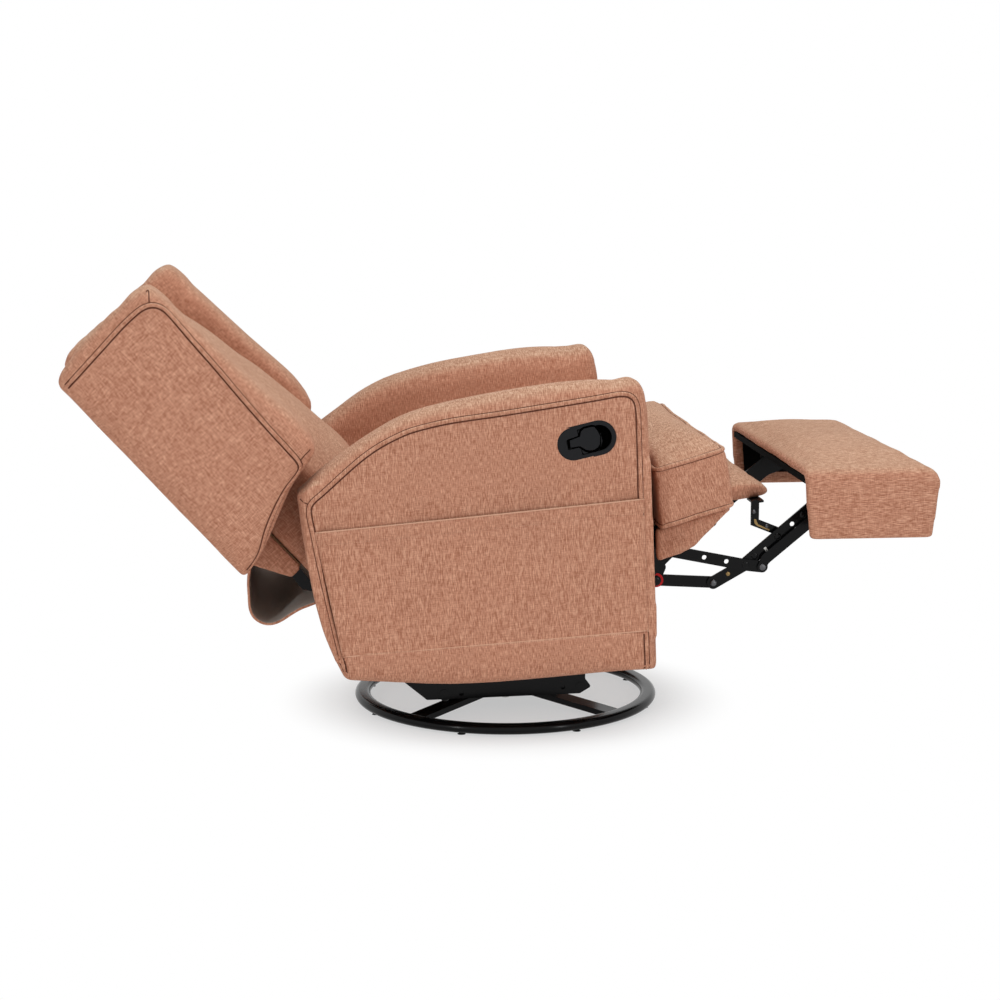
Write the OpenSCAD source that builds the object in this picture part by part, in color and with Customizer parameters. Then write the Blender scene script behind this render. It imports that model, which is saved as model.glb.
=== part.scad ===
// Swivel glider recliner, drawn fully reclined with its footrest out.
// X points to the front of the chair, Y to the sitter's left and Z up.
// The origin lies on the floor, on the axis that the chair swivels about.

/* [Overall] */
// Width over both arms
chair_w = 750; // [700:5:800]
// Thickness of each arm
arm_t = 110; // [95:1:125]
// Backward tilt of the arms on their base, in degrees
body_tilt = 3.5; // [2:0.5:5]
// Gap between a soft piece and its neighbour
soft_gap = 0.3; // [0.2:0.1:1]

/* [Base] */
// Outer diameter of the floor ring
ring_d = 600; // [560:10:640]
// Width of the ring's tube
ring_tube_w = 30; // [26:1:34]
// Height of the ring's tube
ring_tube_h = 18; // [16:1:20]
// Width of the four cross arms
cross_arm_w = 36; // [30:1:44]
// Thickness of the four cross arms
cross_arm_t = 12; // [10:1:14]
// Diameter of the centre boss that the cross arms meet
boss_d = 150; // [130:5:170]
// Height of the top of the centre boss above the floor
boss_top = 34; // [32:1:37]
// Diameter of a floor pad
foot_d = 20; // [16:1:24]
// Height of a floor pad
foot_h = 4; // [3:0.5:5]
// Number of floor pads
foot_count = 8; // [6:1:12]

/* [Swivel] */
// Side of the square hub and turntable plates
swivel_plate_w = 190; // [170:5:210]
// Thickness of the hub and turntable plates
swivel_plate_t = 4; // [3:0.5:5]
// Diameter of the circle that the bearing balls run on
race_d = 120; // [100:5:130]
// Diameter of a bearing ball
ball_d = 8; // [6:1:9]
// Number of bearing balls
ball_count = 16; // [12:1:20]
// Diameter of the centre bolt
king_bolt_d = 16; // [12:1:18]

/* [Glide] */
// Length of a glide link between its pivots
glide_link_l = 88; // [80:1:92]
// Distance of the rear glide pivots behind the origin
glide_rear_x = 135; // [125:1:145]
// Distance of the front glide pivots ahead of the origin
glide_front_x = 127; // [120:1:135]
// Height of the lower rear glide pivot
glide_rear_z = 54; // [52:1:58]
// Height of the lower front glide pivot
glide_front_z = 62; // [58:1:66]
// Distance of the glide side plates from the centre plane
glide_y = 160; // [150:1:170]

/* [Arms] */
// Length of an arm along the tilted body
arm_len = 640; // [620:5:660]
// Height of an arm from its bottom edge to its crest
arm_h = 544; // [530:1:560]
// Distance of an arm's rear corner behind the origin
arm_rear = 379; // [370:1:390]
// Height of an arm's bottom edge above the floor
arm_bottom = 122; // [118:1:128]
// Edge rounding of the arms
arm_round = 26; // [20:1:32]
// Depth of the side pocket
pocket_depth = 5; // [4.5:0.1:8]
// Thickness of the pocket's cloth
pocket_t = 2; // [1.5:0.1:3]

/* [Handle] */
// Length of the handle's bezel
bezel_l = 111; // [104:1:118]
// Height of the handle's bezel
bezel_h = 63; // [58:1:68]
// Depth of the handle's cup in the arm
cup_depth = 26; // [22:1:32]
// Wall thickness of the cup
cup_wall = 3; // [2:0.5:4]
// Thickness of the pull lever
lever_t = 5; // [4:0.5:6]

/* [Seat] */
// Pitch of the seat when reclined, in degrees
seat_pitch = 16.8; // [15:0.1:18]
// Turn of the seat from reclined to upright, in degrees
seat_turn = 6; // [5:0.5:7]
// Reach of the seat cushion behind the hinge of the back
seat_reach = 32.3; // [20:0.1:38]
// Length of the ears in front of the arms
ear_len = 148; // [142:1:156]
// Inset of an ear's side from the arm's outer face
ear_inset = 35; // [25:1:45]
// Thickness of the seat cushion's boxing
seat_t = 113; // [104:1:118]
// Height of the seat cushion's crown above its boxing
seat_crown = 34; // [24:1:38]
// Height of the seat frame's rails
rail_h = 45; // [40:1:48]

/* [Back] */
// Lean of the back from upright when reclined, in degrees
back_pitch = 42.3; // [41:0.1:43.5]
// Turn of the back on the seat from reclined to upright, in degrees
back_turn = 18; // [16:0.5:19]
// Length of a wing up the back
wing_l = 504; // [490:1:515]
// Depth of a wing from front to rear
wing_w = 259; // [250:1:265]
// Inset of a wing's outer face from the arm's outer face
wing_inset = 3; // [1:0.5:11]
// Edge rounding of the wings
wing_round = 25; // [18:1:28]
// Depth of the back cushion's front face at the bottom of the wings
cushion_low = 264; // [250:1:268]
// Depth of the back cushion's front face below the top roll
cushion_high = 185; // [170:1:200]

/* [Footrest] */
// Length of the footrest pad
foot_pad_l = 255; // [240:1:265]
// Depth of the footrest's side flanges
flange_h = 135; // [125:1:140]
// Thickness of the footrest's padding at its edges
foot_pad_t = 20; // [16:1:28]
// Height of the footrest's crown above its edges
foot_crown = 22; // [14:1:26]
// Thickness of the footrest's flanges
flange_t = 22; // [18:1:24]
// Inset of the footrest's side from the arm's outer face
foot_inset = 34; // [27:1:40]
// Thickness of the footrest's board
board_t = 12; // [10:1:15]
// Inset of the middle pad's ends from the arms' inner faces
mid_inset = 65; // [55:1:85]
// Thickness of the middle pad
mid_t = 32; // [26:1:34]

/* [Linkage] */
// Thickness of a steel link
link_t = 4; // [3:0.1:4]
// Gap between links that lie beside each other
link_gap = 1; // [0.8:0.1:1.5]
// Width of the long footrest link
long_link_w = 24; // [22:1:27]
// Width of the other links
link_w = 22; // [20:1:24]
// Diameter of a pivot pin
pin_d = 9; // [8:0.5:10]
// Running clearance of a pivot bore round its pin, on the diameter
pin_play = 0.16; // [0.1:0.01:0.2]
// Height of a rivet's head
head_h = 1.6; // [1:0.1:2]

/* [Curtain] */
// Thickness of the rear curtain
curtain_t = 4; // [3:0.5:5]
// Gap between the curtain's side edge and the arm
curtain_gap = 7; // [3:0.5:15]

/* [Hidden] */
$fn = 48;

// Colours
cloth = "#c08a6c";
lining = "#c9c5c0";
black_steel = "#151515";
zinc = "#a8a8a4";
black_plastic = "#1d1d1f";
red_plastic = "#b3161b";
pine = "#c9a878";

// Overrun of a cut past the face that it leaves
cut = 1;
// Gap between the end of a pin and the next part along it
run_gap = 0.5;

// Layers of the linkage, each given by its inner face
arm_inner = chair_w / 2 - arm_t;
wing_outer = chair_w / 2 - wing_inset;
ear_half_w = chair_w / 2 - ear_inset;
foot_half_w = chair_w / 2 - foot_inset;
mid_half_w = arm_inner - mid_inset;
curtain_half_w = arm_inner - curtain_gap;
layer = link_t + link_gap;
body_plate_y = arm_inner - link_t;
seat_link_y = body_plate_y - layer;
seat_plate_y = seat_link_y - layer;
short_y = seat_plate_y - layer;
upper_y = short_y - layer;
long_y = upper_y - layer;
lower_y = long_y - layer;
bracket_y = lower_y - layer - link_gap;
bore_d = pin_d + pin_play;
head_d = 2 * pin_d;

// A point turned about c by a degrees, clockwise in the view from the chair's right side
function turned(p, c, a) = [
    (p[0] - c[0]) * cos(a) + (p[1] - c[1]) * sin(a) + c[0],
    (p[1] - c[1]) * cos(a) - (p[0] - c[0]) * sin(a) + c[1]
];
function heading(a, b) = atan2(b[1] - a[1], b[0] - a[0]);
// A point of the side plane in the seat's own frame
function in_seat(p) = turned(p - ear_corner, [0, 0], seat_pitch);
// The pivot, drop below the seat, of a link whose end lies at p and at q in its two end poses
function pivot_at(p, q, drop) = let (
    middle = (p + q) / 2,
    across = [p[1] - q[1], q[0] - p[0]]
) middle - across * (in_seat(middle)[1] + drop) / (in_seat(ear_corner + across)[1]);
// The lists joined into one
function flat(lists) = [for (l = lists) for (p = l) p];

// Driving places in the side plane, with the chair reclined
footrest_corner = [520, 507];
folded_front = 415;
folded_top = 393;
ear_corner = [250, 394];
seat_centre = [245, 400];
long_end = [371, 275];
long_mid = [431, 309];
upper_end = [463, 305];
footrest_pivot = [575, 432];
long_link_turn = 16.6;
footrest_crank = 34;
footrest_crank_heading = -10.92;
upper_pivot_drop = 60.117;
lower_pivot_drop = 97.787;
back_hinge = [-215.7, 176.2];
wing_foot = [-499, 329];
seat_front_end = [150, 262];
seat_rear_end = [-205, 208];
front_seat_link_l = 82;
rear_seat_link_l = 98;

// The footrest's place when folded, in the frame of the reclined seat
folded_corner = turned([folded_front, folded_top], seat_centre, -seat_turn);
footrest_turn = 90 - seat_turn;
function folded(p) = turned(p - footrest_corner + folded_corner, folded_corner, footrest_turn);
footrest_pivot_folded = folded(footrest_pivot);
function long_folded(p) =
    turned(p - footrest_pivot + footrest_pivot_folded, footrest_pivot_folded, -long_link_turn);
short_end = footrest_pivot
    + footrest_crank * [cos(footrest_crank_heading), sin(footrest_crank_heading)];

// Each of these two pivots is the one that carries its link to both end poses
upper_pivot = pivot_at(long_mid, long_folded(long_mid), upper_pivot_drop);
lower_pivot = pivot_at(long_end, long_folded(long_end), lower_pivot_drop);
upper_turn = heading(upper_pivot, long_mid) - heading(upper_pivot, long_folded(long_mid));
lower_turn = heading(lower_pivot, long_end) - heading(lower_pivot, long_folded(long_end));
upper_end_folded = turned(upper_end, upper_pivot, upper_turn);
short_turn = heading(upper_end, short_end) - heading(upper_end_folded, folded(short_end));

// The seat swings on two links a side, whose fixed pivots lie on the half turn's radius
function on_radius(p, extra) = let (r = norm(p - seat_centre))
    seat_centre + (turned(p, seat_centre, seat_turn / 2) - seat_centre) * (r + extra) / r;
seat_front_pivot = on_radius(seat_front_end, front_seat_link_l);
seat_rear_pivot = on_radius(seat_rear_end, -rear_seat_link_l);
front_link_turn = heading(seat_front_pivot, seat_front_end)
    - heading(seat_front_pivot, turned(seat_front_end, seat_centre, seat_turn));
rear_link_turn = heading(seat_rear_pivot, seat_rear_end)
    - heading(seat_rear_pivot, turned(seat_rear_end, seat_centre, seat_turn)) + 360;
echo(lower_pivot = lower_pivot, upper_pivot = upper_pivot, short_end = short_end);
echo(upper_turn = upper_turn, lower_turn = lower_turn, short_turn = short_turn);
echo(seat_front_pivot = seat_front_pivot, seat_rear_pivot = seat_rear_pivot);
echo(front_link_turn = front_link_turn, rear_link_turn = rear_link_turn);

// Levels of the base and the swivel
ring_z = foot_h + ring_tube_h / 2;
hub_top = boss_top + swivel_plate_t;
race_h = ball_d;
race_gap = 0.6;
ball_z = hub_top + race_h + race_gap / 2;
turntable_z = hub_top + 2 * race_h + race_gap;
cradle_z = turntable_z + swivel_plate_t;
cradle_bar_h = 12;

// Glide pivots, lower then upper
glide_low_rear = [-glide_rear_x, glide_rear_z];
glide_low_front = [glide_front_x, glide_front_z];
glide_top_rear = glide_low_rear + [0, glide_link_l];
glide_top_front = glide_low_front + [0, glide_link_l];
glide_link_y = glide_y + layer;
hanger_y = glide_link_y + layer;

// Cross tubes of the body
tube_w = 22;
front_tube = [60, 178];
rear_tube = [-270, 170];

// Points of a smooth curve through p, with n steps between neighbours
function curve(p, n) = let (m = len(p) - 1) concat(
    [for (i = [0:m - 1]) let (
        a = p[max(i - 1, 0)], b = p[i], c = p[i + 1], d = p[min(i + 2, m)]
    ) for (k = [0:n - 1]) let (t = k / n)
        (2 * b + (c - a) * t + (2 * a - 5 * b + 4 * c - d) * pow(t, 2)
            + (3 * b - a - 3 * c + d) * pow(t, 3)) / 2],
    [p[m]]
);
// A closed outline with its corners turned into arcs of radius r
function rounded(p, r, n = 4) = let (m = len(p)) [for (i = [0:m - 1]) let (
    b = p[i],
    u = (p[(i + m - 1) % m] - b) / norm(p[(i + m - 1) % m] - b),
    v = (p[(i + 1) % m] - b) / norm(p[(i + 1) % m] - b),
    half = acos(u * v) / 2,
    c = b + (u + v) / norm(u + v) * r / sin(half),
    from = b + u * r / tan(half) - c,
    to = b + v * r / tan(half) - c,
    start = atan2(from[1], from[0]),
    swing = (atan2(to[1], to[0]) - start + 540) % 360 - 180
) for (k = [0:n]) c + r * [cos(start + swing * k / n), sin(start + swing * k / n)]];
// A closed counterclockwise outline moved inwards by d
function inset(p, d) = let (m = len(p)) [for (i = [0:m - 1]) let (
    u = (p[i] - p[(i + m - 1) % m]) / norm(p[i] - p[(i + m - 1) % m]),
    v = (p[(i + 1) % m] - p[i]) / norm(p[(i + 1) % m] - p[i]),
    nu = [-u[1], u[0]],
    nv = [-v[1], v[0]]
) p[i] + (nu + nv) / (1 + nu * nv) * d];
function scaled_to(shares, w, h) = [for (s = shares) [s[0] * w, s[1] * h]];

// A closed solid through rings of points, with a point at the middle of each end
module loft(rings, first, last) {
    n = len(rings[0]);
    m = len(rings);
    points = concat([first], flat(rings), [last]);
    function at(r, i) = 1 + r * n + i % n;
    faces = concat(
        [for (i = [0:n - 1]) [0, at(0, i), at(0, i + 1)]],
        [for (r = [0:m - 2]) for (i = [0:n - 1]) [at(r, i), at(r + 1, i), at(r + 1, i + 1)]],
        [for (r = [0:m - 2]) for (i = [0:n - 1]) [at(r, i), at(r + 1, i + 1), at(r, i + 1)]],
        [for (i = [0:n - 1]) [m * n + 1, at(m - 1, i + 1), at(m - 1, i)]]
    );
    polyhedron(points, faces, convexity = 6);
}
// An upholstered slab: an outline in the side plane, from y0 to y1, with rounded edges
module slab(outline, middle, y0, y1, r, steps = 4) {
    low = [for (k = [0:steps]) [r * (1 - sin(90 * k / steps)), y0 + r * (1 - cos(90 * k / steps))]];
    high = [for (k = [steps:-1:0]) [r * (1 - sin(90 * k / steps)), y1 - r * (1 - cos(90 * k / steps))]];
    steps_down = concat(low, high);
    rings = [for (i = [2 * steps + 1:-1:0]) let (s = steps_down[i])
        [for (p = inset(outline, s[0])) [p[0], s[1], p[1]]]];
    loft(rings, [middle[0], y1, middle[1]], [middle[0], y0, middle[1]]);
}
// A flat plate of thickness t in the side plane, its inner face at y
module side_plate(y, t) {
    translate([0, y + t, 0]) rotate([90, 0, 0]) linear_extrude(t) children();
}
module both_sides() {
    children();
    mirror([0, 1, 0]) children();
}
module pin(p, y0, y1, d) {
    translate([p[0], y0, p[1]]) rotate([-90, 0, 0]) cylinder(h = y1 - y0, d = d);
}
// One side of a strip that follows a path, at distance d to the path's left
function side_line(p, d) = let (m = len(p) - 1) [for (i = [0:m]) let (
    u = i > 0 ? p[i] - p[i - 1] : p[1] - p[0],
    v = i < m ? p[i + 1] - p[i] : u,
    nu = [-u[1], u[0]] / norm(u),
    nv = [-v[1], v[0]] / norm(v)
) p[i] + (nu + nv) / (1 + nu * nv) * d];
// A flat strip along a path of points, w wide, and the same with round ends
module strip(points, w) {
    right = side_line(points, -w / 2);
    polygon(concat(side_line(points, w / 2), [for (i = [len(points) - 1:-1:0]) right[i]]));
}
module bar(points, w) {
    for (p = [points[0], points[len(points) - 1]]) translate(p) circle(d = w);
    strip(points, w);
}
module holes(points, d) {
    for (p = points) translate(p) circle(d = d);
}
module in_body() { rotate([0, -body_tilt, 0]) children(); }
module on_seat() { translate([ear_corner[0], 0, ear_corner[1]]) rotate([0, -seat_pitch, 0]) children(); }
module on_back() { translate([wing_foot[0], 0, wing_foot[1]]) rotate([0, -back_pitch, 0]) children(); }
function seat_point(p) = turned(p, [0, 0], -seat_pitch) + ear_corner;
function back_point(p) = turned(p, [0, 0], -back_pitch) + wing_foot;
function body_point(p) = turned(p, [0, 0], -body_tilt);

// Base and swivel
module base_ring() {
    boss_h = cross_arm_t;
    run = ring_d / 2 - ring_tube_w / 2;
    rise = boss_top - boss_h / 2 - ring_z;
    color(black_steel) difference() {
        union() {
            rotate_extrude() {
                translate([ring_d / 2 - ring_tube_w / 2, ring_z]) {
                    square([ring_tube_w - ring_tube_h, ring_tube_h], center = true);
                    for (s = [-1, 1]) translate([s * (ring_tube_w - ring_tube_h) / 2, 0])
                        circle(d = ring_tube_h);
                }
            }
            translate([0, 0, boss_top - boss_h]) cylinder(h = boss_h, d = boss_d);
            for (a = [45:90:315]) rotate([0, 0, a]) translate([boss_d / 4, 0, 0])
                rotate([0, atan2(rise, run - boss_d / 2), 0])
                    translate([0, -cross_arm_w / 2, boss_top - cross_arm_t + cut / 2])
                        cube([run - boss_d / 4, cross_arm_w, cross_arm_t - cut]);
        }
        cylinder(h = boss_top + cut, d = king_bolt_d);
        translate([0, 0, -ring_d]) cylinder(h = ring_d + foot_h, d = ring_d);
    }
}
module floor_pads() {
    color(black_plastic) for (i = [0:foot_count - 1])
        rotate([0, 0, (i + 0.5) * 360 / foot_count])
            translate([ring_d / 2 - ring_tube_w / 2, 0, 0]) {
                cylinder(h = foot_h, d = foot_d / 2);
                cylinder(h = foot_h / 2, d1 = foot_d - foot_h, d2 = foot_d / 2);
            }
}
module swivel_plate(z) {
    translate([0, 0, z]) linear_extrude(swivel_plate_t) difference() {
        polygon(rounded(swivel_plate_w / 2 * [[-1, -1], [1, -1], [1, 1], [-1, 1]], king_bolt_d));
        circle(d = king_bolt_d + pin_play);
    }
}
module hub_plate() { color(black_steel) swivel_plate(boss_top); }
module turntable_plate() { color(black_steel) swivel_plate(turntable_z); }
module king_bolt() {
    top = cradle_z;
    color(zinc) {
        cylinder(h = top + run_gap, d = king_bolt_d);
        translate([0, 0, top + run_gap]) cylinder(h = cradle_bar_h - link_t, d = 2 * king_bolt_d, $fn = 6);
        translate([0, 0, boss_top - cross_arm_t - link_t]) cylinder(h = link_t, d = 2 * king_bolt_d);
    }
}
module race(z, flip) {
    translate([0, 0, z]) difference() {
        cylinder(h = race_h, d = race_d + 2 * ball_d);
        translate([0, 0, -cut]) cylinder(h = race_h + 2 * cut, d = race_d - 2 * ball_d);
        translate([0, 0, flip ? -race_gap / 2 : race_h + race_gap / 2])
            rotate_extrude() translate([race_d / 2, 0]) circle(d = ball_d + pin_play);
    }
}
module lower_race() { color(zinc) race(hub_top, false); }
module upper_race() { color(zinc) race(hub_top + race_h + race_gap, true); }
module bearing_balls() {
    color(zinc) for (i = [0:ball_count - 1]) rotate([0, 0, i * 360 / ball_count])
        translate([race_d / 2, 0, ball_z]) sphere(d = ball_d);
}

// Glide
module cradle_side_plates() {
    color(black_steel) both_sides() {
        difference() {
            side_plate(glide_y, link_t) difference() {
                bar([
                    glide_top_rear,
                    [glide_top_rear[0] / 2, cradle_z + link_w / 2],
                    [glide_top_front[0] / 2, cradle_z + link_w / 2],
                    glide_top_front
                ], link_w);
                holes([[0, cradle_z + link_w / 2]], pin_d);
            }
        }
        for (p = [glide_top_rear, glide_top_front]) {
            pin(p, glide_y + link_t, glide_link_y + link_t + run_gap, pin_d);
            pin(p, glide_link_y + link_t + run_gap, glide_link_y + link_t + run_gap + head_h / 4, pin_d);
            pin(p, glide_y - head_h, glide_y, head_d);
        }
    }
}
module cradle_cross_bars() {
    color(black_steel) for (x = [-1, 1] * swivel_plate_w / 3)
        translate([x - link_w / 2, -glide_y, cradle_z]) cube([link_w, 2 * glide_y, cradle_bar_h]);
}
module glide_link(low, top) {
    color(black_steel) both_sides() side_plate(glide_link_y, link_t) difference() {
        bar([low, top], link_w);
        holes([low, top], bore_d);
    }
}
module glide_links_rear() { glide_link(glide_low_rear, glide_top_rear); }
module glide_links_front() { glide_link(glide_low_front, glide_top_front); }
module glide_hangers() {
    front_drop = front_tube[1] - tube_w / 2;
    rear_drop = rear_tube[1] - tube_w / 2;
    color(black_steel) both_sides() {
        side_plate(hanger_y, link_t) difference() {
            polygon(rounded([
                [rear_tube[0] - tube_w / 2, rear_drop],
                [rear_tube[0] - tube_w / 2, rear_drop - tube_w],
                [glide_low_rear[0] - 1.5 * link_w, glide_low_rear[1] - link_w / 2],
                [glide_low_front[0], glide_low_front[1] - 0.6 * link_w],
                [glide_low_front[0] + link_w, glide_low_front[1]],
                [front_tube[0] + tube_w / 2, front_drop],
                [front_tube[0] - tube_w / 2, front_drop],
                [front_tube[0] - 1.5 * tube_w, glide_low_front[1] + link_w],
                [glide_low_rear[0] + tube_w, glide_low_rear[1] + link_w],
                [rear_tube[0] + tube_w / 2, rear_drop]
            ], link_t));
            holes([glide_low_rear + [1.5 * link_w, 0], glide_low_front - [1.5 * link_w, 0]], pin_d);
        }
        for (p = [glide_low_rear, glide_low_front]) {
            pin(p, glide_link_y - run_gap, hanger_y, pin_d);
            pin(p, hanger_y + link_t, hanger_y + link_t + head_h, head_d);
        }
    }
}

// Body
module body_cross_tubes() {
    color(black_steel) for (p = [front_tube, rear_tube]) difference() {
        translate([p[0] - tube_w / 2, -body_plate_y, p[1] - tube_w / 2])
            cube([tube_w, 2 * body_plate_y, tube_w]);
        translate([p[0] - tube_w / 2 + head_h, -body_plate_y - cut, p[1] - tube_w / 2 + head_h])
            cube([tube_w - 2 * head_h, 2 * (body_plate_y + cut), tube_w - 2 * head_h]);
    }
}
module recliner_side_plates() {
    low = front_tube[1] - tube_w;
    color(black_steel) both_sides() {
        side_plate(body_plate_y, link_t) polygon(rounded([
            [rear_tube[0] - tube_w, low],
            [seat_front_pivot[0] + link_w, low],
            [seat_front_pivot[0] + link_w, seat_front_pivot[1] + 0.7 * link_w],
            [seat_front_pivot[0] - link_w, seat_front_pivot[1] + 0.7 * link_w],
            [seat_rear_pivot[0] + link_w, seat_rear_pivot[1] + 0.7 * link_w],
            [seat_rear_pivot[0] - link_w, seat_rear_pivot[1] + 0.7 * link_w],
            [rear_tube[0] - tube_w, rear_tube[1] + tube_w]
        ], link_t));
        for (p = [seat_front_pivot, seat_rear_pivot])
            pin(p, seat_link_y - run_gap, body_plate_y, pin_d);
    }
}
// The arm's outline, as shares of its length and height from its rear bottom corner
arm_bottom_shares = [[0.094, 0.053], [0.247, 0.029], [0.389, 0.007], [0.6, 0], [0.82, 0.006], [0.99, 0]];
arm_top_shares = [[1, 0.86], [0.996, 0.925], [0.975, 0.965], [0.925, 0.985], [0.755, 0.991],
    [0.528, 0.967], [0.339, 0.93], [0.23, 0.879], [0.142, 0.814], [0.0625, 0.752], [0, 0.686]];
arm_rear_shares = [[0.003, 0.58], [0.012, 0.46], [0.023, 0.34], [0.042, 0.225], [0.068, 0.13]];
function arm_place(shares) = [for (p = scaled_to(shares, arm_len, arm_h)) p + [-arm_rear, arm_bottom]];
arm_outline = concat(
    curve(arm_place(arm_bottom_shares), 2),
    curve(arm_place(arm_top_shares), 3),
    arm_place(arm_rear_shares)
);
arm_middle_shares = [[0.52, 0.34]];
arm_middle = arm_place(arm_middle_shares)[0];
// The side pocket's mouth, on the same shares, and how far up it the pocket's hem lies
mouth_shares = [[0.09, 0.14], [0.965, 0.145], [0.972, 0.63], [0.035, 0.6]];
mouth_outline = arm_place(mouth_shares);
hem_share = 0.936;
pocket_outline = [
    mouth_outline[0], mouth_outline[1],
    mouth_outline[1] + hem_share * (mouth_outline[2] - mouth_outline[1]),
    mouth_outline[0] + hem_share * (mouth_outline[3] - mouth_outline[0])
];
// The handle's place on the arm, as shares of the arm's length and height, and its slope
handle_shares = [[0.8138, 0.806]];
handle_place = arm_place(handle_shares)[0];
handle_slope = 13 - body_tilt;
module arm_body(cup) {
    in_body() difference() {
        slab(arm_outline, arm_middle, arm_inner, arm_inner + arm_t, arm_round);
        side_plate(arm_inner + arm_t - pocket_depth - pocket_t, pocket_depth + pocket_t + cut)
            polygon(mouth_outline);
        if (cup) side_plate(arm_inner + arm_t - cup_depth, cup_depth + cut)
            translate(handle_place) rotate(handle_slope) stadium(bezel_l - 2 * cup_wall, bezel_h - 2 * cup_wall);
    }
}
module stadium(l, h) {
    square([l - h, h], center = true);
    for (s = [-1, 1]) translate([s * (l - h) / 2, 0]) circle(d = h);
}
module arm_right() { color(cloth) mirror([0, 1, 0]) arm_body(true); }
module arm_left() { color(cloth) arm_body(false); }
module pocket() {
    color(cloth) in_body() {
        side_plate(arm_inner + arm_t - pocket_t, pocket_t) polygon(pocket_outline);
        side_plate(arm_inner + arm_t - pocket_t - pocket_depth, pocket_depth)
            difference() {
                polygon(pocket_outline);
                polygon(concat(
                    [for (i = [0, 1]) pocket_outline[i] + [1 - 2 * i, 1] * pocket_depth],
                    [for (i = [2, 3]) pocket_outline[i] + [i == 2 ? -pocket_depth : pocket_depth, pocket_depth]]
                ));
            }
    }
}
module pocket_right() { mirror([0, 1, 0]) pocket(); }
module pocket_left() { pocket(); }
// The rear panel closes the body between the arms, below the curtain's seam
panel_t = 14;
panel_tuck = 2.4;
panel_shares = [[0.034, 0.262], [0.045, 0.225], [0.07, 0.13], [0.1, 0.06]];
panel_line = [for (p = arm_place(panel_shares)) body_point(p) + [panel_t / 2, 0]];
module rear_panel() {
    w = arm_inner + panel_tuck;
    color(cloth) side_plate(-w, 2 * w) strip(panel_line, panel_t);
}

// Handle, drawn flat about its own centre, with X along the neck and Y up
paddle_neck_w = 15;
paddle_neck_l = 23;
paddle_head_l = 39;
paddle_head_h = 44;
paddle_gap = 1.4;
paddle_end = -0.3 * bezel_l;
lever_axis = paddle_end + pin_d / 2;
lip = 2;
lever_centre = body_point(handle_place + turned([lever_axis, 0], [0, 0], -handle_slope));
echo(lever_pin = [lever_centre[0], -arm_inner - arm_t - lip - soft_gap + lever_t / 2, lever_centre[1]]);
module paddle(grow) {
    offset(delta = grow) {
        translate([paddle_end, -paddle_neck_w / 2]) square([paddle_neck_l + paddle_gap, paddle_neck_w]);
        translate([paddle_end + paddle_neck_l, 0]) polygon(rounded([
            [0, -paddle_head_h / 2], [0.8 * paddle_head_l, -paddle_head_h / 2],
            [paddle_head_l, -paddle_head_h / 6], [paddle_head_l, paddle_head_h / 6],
            [0.7 * paddle_head_l, paddle_head_h / 2], [0, paddle_head_h / 2]
        ], cup_wall));
    }
}
module at_handle() {
    in_body() translate([handle_place[0], -arm_inner - arm_t, handle_place[1]])
        rotate([0, -handle_slope, 0]) rotate([90, 0, 0]) children();
}
module handle_bezel() {
    rim = 8;
    color(black_plastic) at_handle() {
        difference() {
            translate([0, 0, soft_gap]) linear_extrude(lip) stadium(bezel_l, bezel_h);
            translate([0, 0, -cut]) linear_extrude(lip + 2 * cut) cup_mouth(rim);
        }
        difference() {
            translate([0, 0, -cup_depth + soft_gap]) linear_extrude(cup_depth)
                stadium(bezel_l - 2 * (cup_wall + soft_gap), bezel_h - 2 * (cup_wall + soft_gap));
            translate([0, 0, -cup_depth + soft_gap + cup_wall]) linear_extrude(cup_depth + cut)
                cup_mouth(rim);
        }
        for (s = [-1, 1]) translate([lever_axis, s * paddle_neck_w / 4, lip + soft_gap - lever_t / 2])
            rotate([s * -90, 0, 0]) cylinder(h = paddle_neck_w / 4 + paddle_gap + cut, d = pin_d / 3);
    }
}
module cup_mouth(rim) {
    paddle(paddle_gap);
    difference() {
        stadium(bezel_l - 2 * rim, bezel_h - 2 * rim);
        translate([-bezel_l / 2 - paddle_gap, -bezel_h / 2])
            square([bezel_l / 2 + paddle_end + paddle_neck_l, bezel_h]);
    }
}
module pull_lever() {
    color(black_plastic) at_handle() {
        difference() {
            translate([0, 0, lip + soft_gap - lever_t]) linear_extrude(lever_t) paddle(0);
            translate([lever_axis, paddle_neck_w, lip + soft_gap - lever_t / 2])
                rotate([90, 0, 0]) cylinder(h = 2 * paddle_neck_w, d = pin_d / 3 + pin_play);
        }
    }
}

// Seat linkage
module seat_link(low, top) {
    color(black_steel) both_sides() {
        side_plate(seat_link_y, link_t) difference() {
            bar([low, top], link_w);
            holes([low], bore_d);
            holes([top], bore_d);
        }
    }
}
module seat_links_front() { seat_link(seat_front_pivot, seat_front_end); }
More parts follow.
